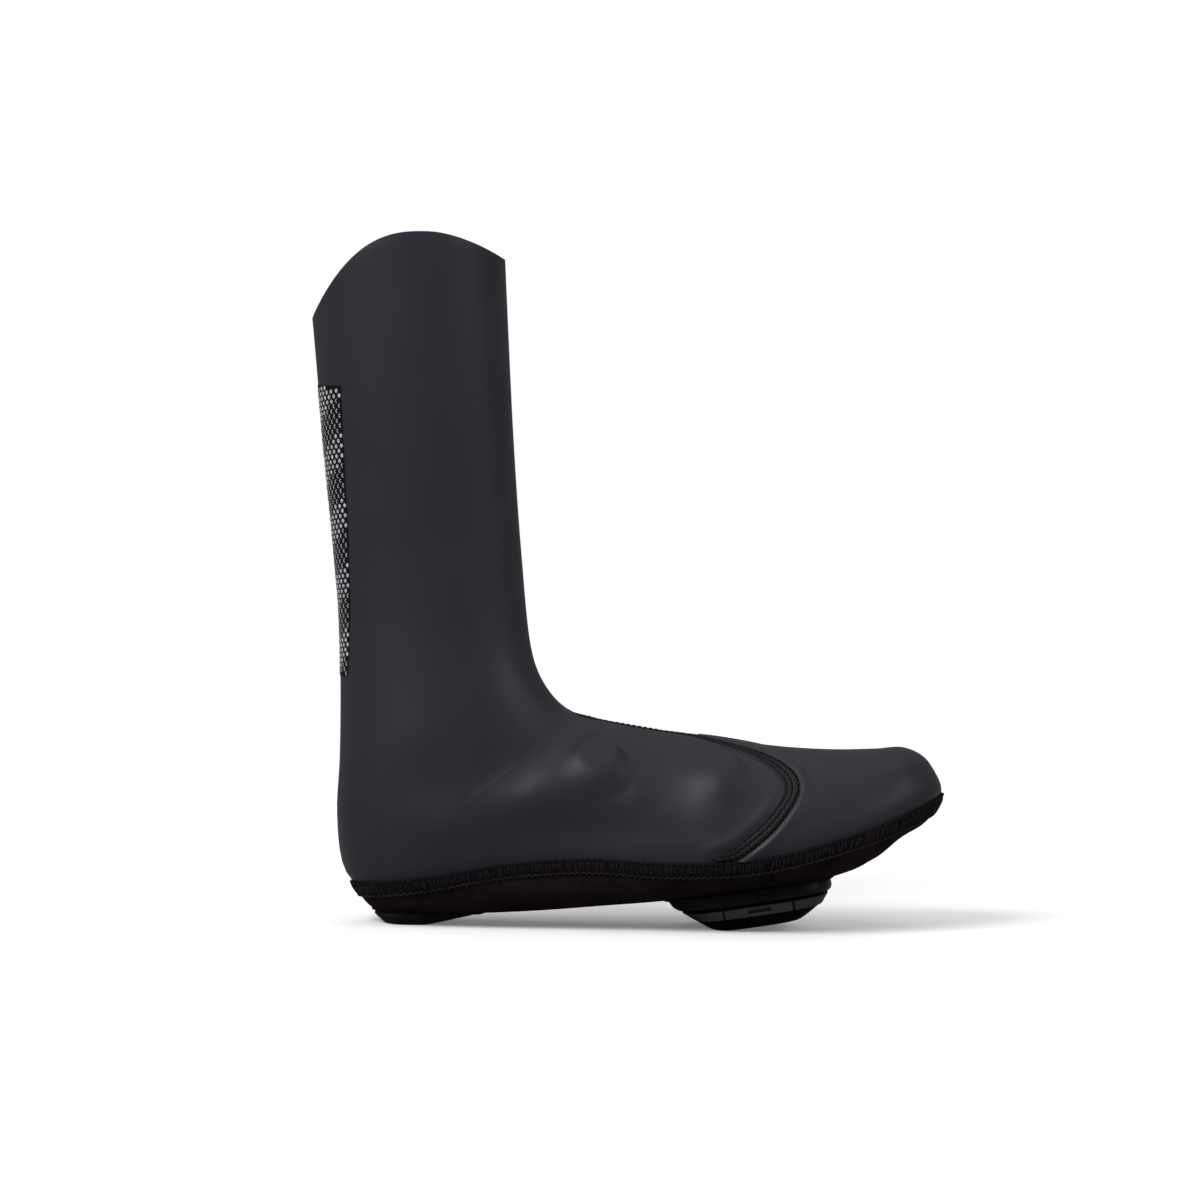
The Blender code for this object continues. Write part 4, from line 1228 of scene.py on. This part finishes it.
# Toe seam: two tapes that meet on the instep, with their threads
def seamProfile(t):
    # two soft ridges between three sewn rows
    groove = sum(bell(t - row, toeSeam["grooveHalf"]) for row in toeSeam["rows"])
    rim = withinRim(t, toeSeam["rim"])
    ridges = toeSeam["height"] - toeSeam["groove"] * np.minimum(groove, 1.0)
    return rim * ridges - toeSeam["sunk"] * (1 - rim)


def tapeRibbon(side):
    points, outs, shares = [], [], []
    for outer, inner, part in toeEdges[side]:
        for share in np.linspace(0.0, 1.0, toeSeam["columns"] + 1):
            row, girth = outer + share * (inner - outer)
            point, _, _, out = surfaceFrame(row, side, max(girth, 0.0))
            points.append(point)
            outs.append(out)
            shares.append(share * part)
    size = (len(toeEdges[side]), toeSeam["columns"] + 1)
    return snap(points).reshape(*size, 3), np.array(outs).reshape(*size, 3), np.array(shares).reshape(size)


def darken(piece, shares, side):
    # black tape along the sewn rows, grey ridges between them
    middle = (shares[:-1, :-1] + shares[1:, 1:]) / 2
    away = np.array([np.abs(middle - row) for row in toeSeam["rows"]])
    # where both tapes meet, only the lateral one has the middle row
    if side == medial:
        away[1, shares[:-1].max(axis=1) < toeSeam["forked"]] = 1.0
    inRow = (away.min(axis=0) < toeSeam["darkHalf"]).astype(np.int32)
    piece.data.polygons.foreach_set("material_index", inRow.ravel())


def buildTape(side, points, shares):
    outward = slice(None, None, side)
    name = "toeSeamTape" + ("Lateral" if side == lateral else "Medial")
    piece = gridPiece(name, points[:, outward])
    darken(piece, shares[:, outward], side)
    mergePoints(piece)
    thicken(piece, toeSeam["wall"])
    smoothShade(piece)
    finishPiece(piece, ["ridge", "tape"], ["toe_seam"] if side == lateral else [])


def lineOnSeam(points, outs, shares, share, whole):
    # a whole line runs on where the tape is too narrow for it, others start where it is wide enough
    narrow = np.flatnonzero(shares[:, -1] < share - 1e-6)
    first = 0 if whole or not len(narrow) else narrow[-1] + 1
    line, out = [], []
    for k in range(first, len(points)):
        j = float(np.interp(share, shares[k], np.arange(shares.shape[1])))
        i = int(min(j, shares.shape[1] - 2))
        t = j - i
        line.append(points[k, i] * (1 - t) + points[k, i + 1] * t)
        out.append(outs[k, i] * (1 - t) + outs[k, i + 1] * t)
    return np.array(line), np.array(out)


def cutStitches(line, out):
    run = lengthsAlong(line)
    found = []
    for start in np.arange(toeSeam["stitchStart"], run[-1] - toeSeam["pitch"], toeSeam["pitch"]):
        at = np.linspace(start, start + toeSeam["stitch"], toeSeam["stitchPoints"])
        way = alongLine(at, run, out)
        found.append((alongLine(at, run, line) + way * toeSeam["lift"], way))
    return found


def seamStitches(side, points, outs, shares):
    found = []
    for k, share in enumerate(toeSeam["rows"]):
        picked = np.ones(len(points), bool)
        if side == medial and k == 1:
            picked = shares[:, -1] > toeSeam["forked"]
        found.extend(cutStitches(*lineOnSeam(points[picked], outs[picked], shares[picked], share, k < 2)))
    return found


def seamCrossings(points, outs, shares):
    found = []
    rows = toeSeam["rows"]
    for k, (first, second) in enumerate(zip(rows[:-1], rows[1:])):
        wanted = ((first, True), ((first + second) / 2, True), (second, k == 0))
        lines = [lineOnSeam(points, outs, shares, *row) for row in wanted]
        count = len(lines[-1][0])
        lines = [(line[-count:], out[-count:]) for line, out in lines]
        run = lengthsAlong(lines[1][0])
        for start in np.arange(toeSeam["crossingStart"], run[-1] - toeSeam["pitch"], toeSeam["pitch"] / 2):
            at = start + np.arange(3) * toeSeam["crossingLean"]
            spots = np.array([alongLine(at[[i]], run, line)[0] for i, (line, _) in enumerate(lines)])
            ways = np.array([alongLine(at[[i]], run, out)[0] for i, (_, out) in enumerate(lines)])
            found.append((spots + ways * toeSeam["lift"], ways))
    return found


def buildToeSeam():
    stitches, crossings = [], []
    for side in (lateral, medial):
        points, outs, shares = tapeRibbon(side)
        run = lengthsAlong(points[:, 0])
        fade = ease(run / toeSeam["fade"])[:, None]
        lifts = seamProfile(shares) * fade - toeSeam["fadeSunk"] * (1 - fade)
        lifted = points + outs * lifts[:, :, None]
        buildTape(side, lifted, shares)
        sewn = run > toeSeam["sewnFrom"] * toeSeam["fade"]
        picked = (lifted[sewn], outs[sewn], shares[sewn])
        stitches.extend(seamStitches(side, *picked))
        crossings.extend(seamCrossings(*picked))
    thread = threadTubes("toeSeamStitches", stitches, *toeSeam["thread"])
    finishPiece(thread, ["toeThread"])
    thread = threadTubes("toeSeamCrossings", crossings, *toeSeam["crossing"], toeSeam["crossingSides"])
    finishPiece(thread, ["soleThread"])


buildToeSeam()
print("toe seam sewn")


# Reflective print at the back of the shaft
panel = {
    "low": 0.117,
    "high": 0.255,
    "lowHalf": 0.0172,
    "highHalf": 0.0305,
    "lift": 0.00025,
    "rows": 60,
    "columns": 30,
    "search": 30,
    "slopeStep": 0.001,
    # staggered rows of dots: distances, rise of the first row, gap at the back line, slope
    "pitch": 0.0041,
    "rise": 0.00233,
    "firstRise": 0.7,
    "backGap": 0.45,
    "tilt": 0.12,
    "dot": 0.00108,
    "thick": 0.00022,
    "sunk": 0.00004,
    "taper": 0.93,
    # half rims, as shares of the dot's radius
    "stroke": 0.42,
    "halfCut": 0.15,
    # chevrons of full dots: height of a repeat, slope and level
    "bandPitch": 0.0290,
    "bandSlope": 0.62,
    "bandLevel": 0.1,
    "merge": 0.0000001,
}


def backPlace(height, reach):
    # points on the back of the shaft, at a height and at lengths round from its middle
    row = solve(lambda r: lastAt(r)[3] - height, 0.0, heelSearchEnd, panel["search"])
    around = roundBack(lambda side: sideLine(row, side))
    middle = lengthsAlong(sideLine(row, lateral))[-1]
    return alongLine(middle + np.asarray(reach), lengthsAlong(around), around)


def panelHalf(height):
    share = (height - panel["low"]) / (panel["high"] - panel["low"])
    return panel["lowHalf"] + share * (panel["highHalf"] - panel["lowHalf"])


def buildPanel():
    heights = np.linspace(panel["low"], panel["high"], panel["rows"] + 1)
    points = np.array([
        backPlace(h, np.linspace(-panelHalf(h), panelHalf(h), panel["columns"] + 1)) for h in heights
    ])
    found = snap(points.reshape(-1, 3)).reshape(points.shape)
    piece = gridPiece("reflectiveFilm", (found - gridNormals(points) * panel["lift"])[:, ::-1])
    thicken(piece, panel["lift"])
    smoothShade(piece, shadeAngle["film"])
    finishPiece(piece, ["film"], ["reflective_panel"])


def hexDot(half):
    # one printed dot: a flat hexagon with a softened edge, or only the rear half of its rim
    piece = newPiece("dot", bpy.ops.mesh.primitive_circle_add, vertices=6, radius=1.0, fill_type="NGON")
    startEdit(piece)
    if half:
        bpy.ops.mesh.inset(thickness=panel["stroke"], depth=0.0)
        bpy.ops.mesh.delete(type="FACE")
        bpy.ops.mesh.select_all(action="SELECT")
        bpy.ops.mesh.bisect(plane_co=(panel["halfCut"], 0, 0), plane_no=(1, 0, 0), clear_outer=True)
        bpy.ops.mesh.select_all(action="SELECT")
    extrude((0, 0, 1.0))
    bpy.ops.transform.resize(value=(panel["taper"], panel["taper"], 1.0), center_override=(0, 0, 0))
    endEdit()
    shape = getPlaces(piece.data)
    faces = [list(face.vertices) for face in piece.data.polygons]
    bpy.data.objects.remove(piece)
    return shape, faces


def dotPlaces():
    # staggered rows that start at both edges of the film and rise a little from the back line to them
    rows = int((panel["high"] - panel["low"]) / panel["rise"]) + 2
    margin = panel["dot"]
    for k in range(-2, rows):
        for side in (-1, 1):
            for column in range(int(panel["highHalf"] / panel["pitch"]) + 1):
                level = panel["low"] + panel["rise"] * (k + panel["firstRise"])
                reach = panelHalf(level) - margin - (column + 0.5 * (k % 2)) * panel["pitch"]
                height = level + panel["tilt"] * (reach - panel["lowHalf"])
                inside = panel["low"] + margin < height < panel["high"] - margin
                if inside and reach > panel["backGap"] * panel["pitch"]:
                    yield height, side * reach


def buildDots():
    templates = {half: hexDot(half) for half in (True, False)}
    step = panel["slopeStep"]
    verts, faces = [], []
    for height, reach in dotPlaces():
        side = 1 if reach > 0 else -1
        # plain chevrons of full dots between stretches of half rims
        band = math.sin(2 * math.pi * (height - panel["bandSlope"] * abs(reach)) / panel["bandPitch"])
        shape, shapeFaces = templates[band < panel["bandLevel"]]
        near = backPlace(height, [reach - step, reach, reach + step])
        front = unit((near[2] - near[0]) * side)
        up = backPlace(height + step, [reach])[0] - near[1]
        up = unit(up - front * (up @ front))
        out = np.cross(up, front) * side
        base = near[1] + out * (panel["lift"] - panel["sunk"])
        flat = np.outer(shape[:, 0], front) + np.outer(shape[:, 1], up)
        start = len(verts)
        verts.extend(base + flat * panel["dot"] + np.outer(shape[:, 2], out) * panel["thick"] + stand)
        faces.extend([start + i for i in face[::side]] for face in shapeFaces)
    piece = meshPiece("reflectiveDots", verts, faces)
    mergePoints(piece, panel["merge"], outward=True)
    finishPiece(piece, ["ink"])
    return len(faces)


buildPanel()
print("reflective dots:", buildDots(), "faces")


# Heel pad and cleat of the shoe inside: settings, and the tools that make them and their openings
heelPad = {
    # z, rear, front, half width
    "rings": (
        (0.0150, 0.0190, 0.0700, 0.0210),
        (0.0060, 0.0190, 0.0690, 0.0210),
        (0.0042, 0.0186, 0.0655, 0.0212),
        (0.0006, 0.0226, 0.0500, 0.0190),
        (0.0000, 0.0240, 0.0470, 0.0178),
    ),
    "round": 3.0,
    "sides": 72,
    "edge": 0.0006,
    "opening": (0.02, -0.01),
    "grooves": (0.0280, 0.0340, 0.0400, 0.0450),
    "grooveWidth": 0.0016,
    "grooveReach": 0.0135,
    "grooveHeights": (-0.01, 0.0012),
    "bedGap": 0.0003,
    "bedHeight": 0.04,
}
cleat = {
    "place": (0.196, 0.0, 0.0191),
    "tilt": math.radians(9.2),
    "round": 3.4,
    "sides": 72,
    # depth, rear, front, half width
    "layers": {
        "cleat_base": ((-0.0008, -0.0395, 0.0398, 0.0310), (0.0040, -0.0366, 0.0400, 0.0318),
                       (0.0055, -0.0347, 0.0394, 0.0310)),
        "cleat_spacer": ((0.0058, -0.0325, 0.0365, 0.0285), (0.0068, -0.0315, 0.0360, 0.0282)),
        "cleat_body": ((0.0071, -0.0326, 0.0378, 0.0308), (0.0115, -0.0269, 0.0345, 0.0306)),
        "cleat_tread": ((0.0118, -0.0264, 0.0332, 0.0300), (0.0150, -0.0223, 0.0280, 0.0285),
                        (0.0172, -0.0190, 0.0240, 0.0262)),
    },
    "edge": {"cleat_base": 0.0005, "cleat_spacer": 0.0002, "cleat_body": 0.0003, "cleat_tread": 0.0004},
    "finish": {
        "cleat_base": "base", "cleat_spacer": "tread", "cleat_body": "nylon", "cleat_tread": "tread",
    },
    "opening": (0.012, -0.012),
    # cuts in the sides of the body, all as deep and open to the outside
    "cutDepth": 0.0028,
    "cutReach": 0.05,
    "slots": (-0.0130, 0.0202),
    "slotWidth": 0.0014,
    "slotHeights": (-0.016, -0.005),
    "pocket": (-0.0015, 0.0095),
    "pocketHeights": (-0.0100, -0.0081),
    "treadGrooves": (-0.0120, -0.0010, 0.0100),
    "treadGrooveWidth": 0.0014,
    "treadGrooveDepth": 0.0016,
    "treadGrooveReach": 0.0215,
    "treadGrooveStart": -0.03,
}
bolts = {
    "cleat_bolt_front": (0.0200, 0.0),
    "cleat_bolt_lateral": (-0.0070, -0.0165),
    "cleat_bolt_medial": (-0.0070, 0.0165),
}
boltPiece = {
    "head": 0.0052,
    "height": 0.0022,
    "sides": 48,
    "edge": 0.0004,
    "edgeAngle": 40,
    "shank": 0.0025,
    "topFacing": 0.9,
    "socket": 0.0024,
    "socketSides": 6,
    "socketStart": 0.002,
    "depth": 0.0014,
    # hole in the tread
    "hole": 0.0056,
    "holeSides": 40,
    "holeHeights": (-0.04, 0.01),
}
cleatMatrix = Matrix.Translation(Vector(cleat["place"]) + Vector(stand))
cleatMatrix = cleatMatrix @ Matrix.Rotation(-cleat["tilt"], 4, "Y")


def squared(value, power):
    # pulls a circle out towards a square
    return np.sign(value) * np.abs(value) ** (2 / power)


def raiseRings(name, rings, power, sides):
    # a squared-off circle, extruded ring by ring from the top down
    piece = newPiece(name, bpy.ops.mesh.primitive_circle_add, vertices=sides, radius=1.0, fill_type="NGON")
    for v in piece.data.vertices:
        v.co.x, v.co.y = squared(v.co.x, power), squared(v.co.y, power)
    startEdit(piece)
    z, rear, front, half = rings[0]
    bpy.ops.transform.resize(value=((front - rear) / 2, half, 1.0), center_override=(0, 0, 0))
    bpy.ops.transform.translate(value=((front + rear) / 2, 0, z))
    for before, ring in zip(rings[:-1], rings[1:]):
        z, rear, front, half = ring
        middle = (front + rear) / 2
        extrude((middle - (before[2] + before[1]) / 2, 0, z - before[0]))
        grow = ((front - rear) / (before[2] - before[1]), half / before[3], 1.0)
        bpy.ops.transform.resize(value=grow, center_override=(middle, 0, z))
    endEdit(outward=True)
    return piece


def addBlock(low, high, matrix):
    piece = newPiece("block", bpy.ops.mesh.primitive_cube_add, size=1.0)
    low, high = Vector(low), Vector(high)
    piece.data.transform(Matrix.Translation((low + high) / 2) @ Matrix.Diagonal((*(high - low), 1.0)))
    return movePiece(piece, matrix)


def addRod(name, spot, heights, radius, sides):
    low, high = heights
    piece = newPiece(
        name, bpy.ops.mesh.primitive_cylinder_add,
        vertices=sides, radius=radius, depth=high - low, location=(*spot, (low + high) / 2),
    )
    bpy.ops.object.transform_apply(location=True, rotation=True, scale=True)
    return piece


def openingSize(rings):
    grow = solePiece["clearance"]
    rear = min(ring[1] for ring in rings) - grow
    front = max(ring[2] for ring in rings) + grow
    return rear, front, max(ring[3] for ring in rings) + grow


def openingCutter(rings, setting, matrix):
    walls = [(height, *openingSize(rings)) for height in setting["opening"]]
    return movePiece(raiseRings("opening", walls, setting["round"], solePiece["openingSides"]), matrix)


# Walls, openings and edges of the two large pieces
def closeUpper():
    for look in ("skin", "lining", "edge"):
        upper.data.materials.append(finish[look])
    skin = getPlaces(upper.data)
    thicken(upper, upperPiece["wall"], lining=1, rim=2)
    # the lining lies one wall inside, square to the smooth last
    setPlaces(upper.data, np.concatenate([skin, liningPlaces]))
    roundEdges(upper, upperPiece["edgeRound"], angle=upperPiece["edgeAngle"])
    smoothShade(upper)
    finishPiece(upper, nodes=["upper"])


def hemPath(rings, setting, matrix):
    rear, front, half = openingSize(rings)
    turn = np.linspace(0.0, 2 * math.pi, solePiece["hemSearch"])
    x = squared(np.cos(turn), setting["round"]) * (front - rear) / 2 + (front + rear) / 2
    y = squared(np.sin(turn), setting["round"]) * half
    line = []
    for px, py in zip(x, y):
        start = matrix @ Vector((px, py, 0.0)) - Vector(stand)
        hit = outerSkin.ray_cast(Vector((start.x, start.y, solePiece["rayStart"])), Vector((0, 0, 1)))[0]
        if hit:
            line.append(hit)
    path = atShares(np.array(line), np.linspace(0, 1, solePiece["hemPoints"]))
    return path, np.tile((0.0, 0.0, -1.0), (len(path), 1))


def closeSole():
    sole.data.materials.append(finish["sole"])
    thicken(sole, solePiece["wall"])
    openings = (
        (heelPad["rings"], heelPad, standMatrix),
        (cleat["layers"]["cleat_base"], cleat, cleatMatrix),
    )
    cutAway(sole, [openingCutter(*opening) for opening in openings])
    smoothShade(sole, shadeAngle["cloth"])
    finishPiece(sole, nodes=["sole_panel"])
    hems = [hemPath(*opening) for opening in openings]
    hem = threadTubes("openingHems", hems, *solePiece["hem"], solePiece["hemSides"], 1.0)
    finishPiece(hem, ["tape"])


closeUpper()
closeSole()
print("walls closed:", len(upper.data.polygons), len(sole.data.polygons), "faces")


# Insole on the inside of the sole
insolePiece = {
    "start": 0.135,
    "end": 0.905,
    "margin": 0.30,
    "under": 0.0021,
    "thickness": 0.0020,
    "edge": 0.0005,
    "edgeSegments": 2,
    "edgeAngle": 50,
}


def buildInsole():
    rows, columns = soleGrid.shape[:2]
    trim = int(columns * insolePiece["margin"] / 2)
    start, end = int(insolePiece["start"] * rows), int(insolePiece["end"] * rows)
    points = soleGrid[start:end:2, trim:columns - trim]
    sunk = points - gridNormals(points) * insolePiece["under"]
    piece = gridPiece("insole_plate", sunk, clothMap(points, 0))
    thicken(piece, insolePiece["thickness"])
    roundEdges(piece, insolePiece["edge"], insolePiece["edgeSegments"], insolePiece["edgeAngle"])
    smoothShade(piece, shadeAngle["cloth"])
    finishPiece(piece, ["insole"], ["insole"])


buildInsole()


# Heel pad of the shoe inside, with a plain cross-cut tread
def insoleBed():
    # cutter that starts just below the insole and rises straight up
    rows = soleGrid[: len(soleGrid) // 2]
    piece = gridPiece("insoleBed", rows - gridNormals(rows) * (insolePiece["under"] - heelPad["bedGap"]))
    mergePoints(piece)
    startEdit(piece)
    extrude((0, 0, heelPad["bedHeight"]))
    endEdit(outward=True)
    return piece


def buildHeelPad():
    piece = raiseRings("heelPad", heelPad["rings"], heelPad["round"], heelPad["sides"])
    movePiece(piece, standMatrix)
    roundEdges(piece, heelPad["edge"])
    half, reach = heelPad["grooveWidth"] / 2, heelPad["grooveReach"]
    low, top = heelPad["grooveHeights"]
    cutters = [insoleBed()]
    for x in heelPad["grooves"]:
        cutters.append(addBlock((x - half, -reach, low), (x + half, reach, top), standMatrix))
    cutAway(piece, cutters)
    smoothShade(piece, shadeAngle["hard"])
    finishPiece(piece, ["heel"], ["heel_pad"])


buildHeelPad()
print("heel pad made")


# Cleat: four layers and three bolts, in a frame tilted with the sole
def bodyCutters():
    _, rear, front, widest = cleat["layers"]["cleat_body"][0]
    half = cleat["slotWidth"] / 2
    cuts = [(x, x - half, x + half, *cleat["slotHeights"]) for x in cleat["slots"]]
    cuts.append((cleat["pocket"][1], *cleat["pocket"], *cleat["pocketHeights"]))
    for side in (lateral, medial):
        for x, start, end, low, high in cuts:
            across = abs(2 * x - front - rear) / (front - rear)
            outline = widest * (1 - across ** cleat["round"]) ** (1 / cleat["round"])
            inner, outer = sorted((side * (outline - cleat["cutDepth"]), side * cleat["cutReach"]))
            yield addBlock((start, inner, low), (end, outer, high), cleatMatrix)


def treadCutters():
    for spot in bolts.values():
        hole = addRod("hole", spot, boltPiece["holeHeights"], boltPiece["hole"], boltPiece["holeSides"])
        yield movePiece(hole, cleatMatrix)
    half, reach = cleat["treadGrooveWidth"] / 2, cleat["treadGrooveReach"]
    top = cleat["treadGrooveDepth"] - cleat["layers"]["cleat_tread"][-1][0]
    for x in cleat["treadGrooves"]:
        low = (x - half, -reach, cleat["treadGrooveStart"])
        yield addBlock(low, (x + half, reach, top), cleatMatrix)


def trimAtFloor(piece):
    startEdit(piece)
    bpy.ops.mesh.bisect(plane_co=(0, 0, 0), plane_no=(0, 0, -1), use_fill=True, clear_outer=True)
    endEdit()


def buildCleat():
    cutters = {"cleat_body": bodyCutters, "cleat_tread": treadCutters}
    for name, layers in cleat["layers"].items():
        rings = [(-depth, *size) for depth, *size in layers]
        piece = raiseRings(name + "_layer", rings, cleat["round"], cleat["sides"])
        movePiece(piece, cleatMatrix)
        roundEdges(piece, cleat["edge"][name])
        if name == "cleat_tread":
            trimAtFloor(piece)
        if name in cutters:
            cutAway(piece, list(cutters[name]()))
        smoothShade(piece, shadeAngle["hard"])
        finishPiece(piece, [cleat["finish"][name]], [name])


def buildBolt(name, spot):
    top = -cleat["layers"]["cleat_tread"][0][0]
    shankTop = -cleat["layers"]["cleat_base"][0][0]
    bottom = top - boltPiece["height"]
    piece = addRod(name + "_steel", spot, (bottom, top), boltPiece["head"], boltPiece["sides"])
    startEdit(piece)
    bpy.ops.mesh.select_all(action="DESELECT")
    endEdit()
    for face in piece.data.polygons:
        face.select = face.normal.z > boltPiece["topFacing"]
    bpy.ops.object.mode_set(mode="EDIT")
    bpy.ops.mesh.inset(thickness=boltPiece["head"] - boltPiece["shank"], depth=0.0)
    extrude((0, 0, shankTop - top))
    endEdit()
    movePiece(piece, cleatMatrix)
    roundEdges(piece, boltPiece["edge"], angle=boltPiece["edgeAngle"])
    heights = (bottom - boltPiece["socketStart"], bottom + boltPiece["depth"])
    socket = addRod("socket", spot, heights, boltPiece["socket"], boltPiece["socketSides"])
    cutAway(piece, [movePiece(socket, cleatMatrix)])
    smoothShade(piece, shadeAngle["hard"])
    finishPiece(piece, ["steel"], [name])


buildCleat()
for boltName, boltSpot in bolts.items():
    buildBolt(boltName, boltSpot)
print("cleat made")


# Stage: pale floor that fades out, soft boxes and the camera
stage = {
    "white": (1.0, 1.0, 1.0, 1.0),
    "floorSize": 3.0,
    "floorCells": 8,
    "floorInner": 0.42,
    "floorOuter": 0.95,
    "floorGlow": 0.16,
    "floorPale": 0.94,
    "floorBounce": 0.36,
    "floorRoughness": 0.9,
    "floorShine": 0.1,
    "ambient": 0.20,
    "cameraAway": 2.8,
    "cameraZ": 0.300,
    "aim": (0.1214, 0.1547),
    "frameWidth": 0.5702,
    "roll": math.radians(-0.9),
    "clipEnd": 50.0,
    # place, aim, size, power; the light behind the shoe makes no glare
    "lights": {
        "key": ((-1.40, -1.45, 1.75), (0.0, 0.0, 0.12), 1.5, 58.0),
        "top": ((0.06, 0.05, 1.75), (0.02, 0.0, 0.0), 2.4, 7.0),
        "fill": ((1.50, -0.60, 0.90), (0.05, 0.0, 0.08), 1.0, 7.5),
        "back": ((0.40, 1.90, 1.00), (0.0, 0.0, 0.15), 1.4, 16.0),
    },
}


def buildFloor():
    cells = stage["floorCells"]
    floor = newPiece(
        "paleFloor", bpy.ops.mesh.primitive_grid_add,
        x_subdivisions=cells, y_subdivisions=cells, size=stage["floorSize"],
    )
    made, tree, shader = newMaterial(
        "paleFloor", Roughness=stage["floorRoughness"], Specular_IOR_Level=stage["floorShine"],
        Emission_Color=stage["white"],
    )
    # the floor looks white, but throws little light back at the shoe
    seen = addNode(tree, "LightPath").outputs["Is Camera Ray"]
    spreadTo(tree, seen, 0.0, stage["floorGlow"], shader.inputs["Emission Strength"])
    spreadTo(tree, seen, stage["floorBounce"], stage["floorPale"], shader.inputs["Base Color"])
    away = addNode(tree, "VectorMath", {"operation": "LENGTH"}, Vector=coordinates(tree))
    fade = addNode(
        tree, "MapRange", {"interpolation_type": "SMOOTHSTEP"}, Value=away.outputs["Value"],
        From_Min=stage["floorInner"], From_Max=stage["floorOuter"], To_Min=1.0, To_Max=0.0,
    )
    tree.links.new(fade.outputs["Result"], shader.inputs["Alpha"])
    floor.data.materials.append(made)


def buildWorld():
    world = bpy.data.worlds.new("studio")
    bpy.context.scene.world = world
    world.use_nodes = True
    tree = world.node_tree
    soft = tree.nodes["Background"]
    soft.inputs["Color"].default_value = stage["white"]
    soft.inputs["Strength"].default_value = stage["ambient"]
    plain = addNode(tree, "Background", Color=stage["white"], Strength=1.0)
    mix = addNode(tree, "MixShader", Fac=addNode(tree, "LightPath").outputs["Is Camera Ray"])
    tree.links.new(soft.outputs["Background"], mix.inputs[1])
    tree.links.new(plain.outputs["Background"], mix.inputs[2])
    tree.links.new(mix.outputs["Shader"], tree.nodes["World Output"].inputs["Surface"])


def buildLights():
    for name, (spot, aim, size, power) in stage["lights"].items():
        bpy.ops.object.light_add(type="AREA", location=spot)
        light = bpy.context.object
        light.name = name
        light.data.shape = "DISK"
        light.data.size = size
        light.data.energy = power
        light.visible_glossy = name != "back"
        light.rotation_euler = (Vector(aim) - Vector(spot)).to_track_quat("-Z", "Y").to_euler()


def buildCamera():
    aimX, aimZ = stage["aim"]
    dip = math.atan2(stage["cameraZ"] - aimZ, stage["cameraAway"])
    bpy.ops.object.camera_add(
        location=(aimX + stand[0], stand[1] - stage["cameraAway"], stage["cameraZ"]),
        rotation=(math.pi / 2 - dip, stage["roll"], 0.0),
    )
    camera = bpy.context.object
    camera.data.lens = camera.data.sensor_width * stage["cameraAway"] / stage["frameWidth"]
    camera.data.clip_end = stage["clipEnd"]
    bpy.context.scene.camera = camera


buildFloor()
buildWorld()
buildLights()
buildCamera()
print("stage set")
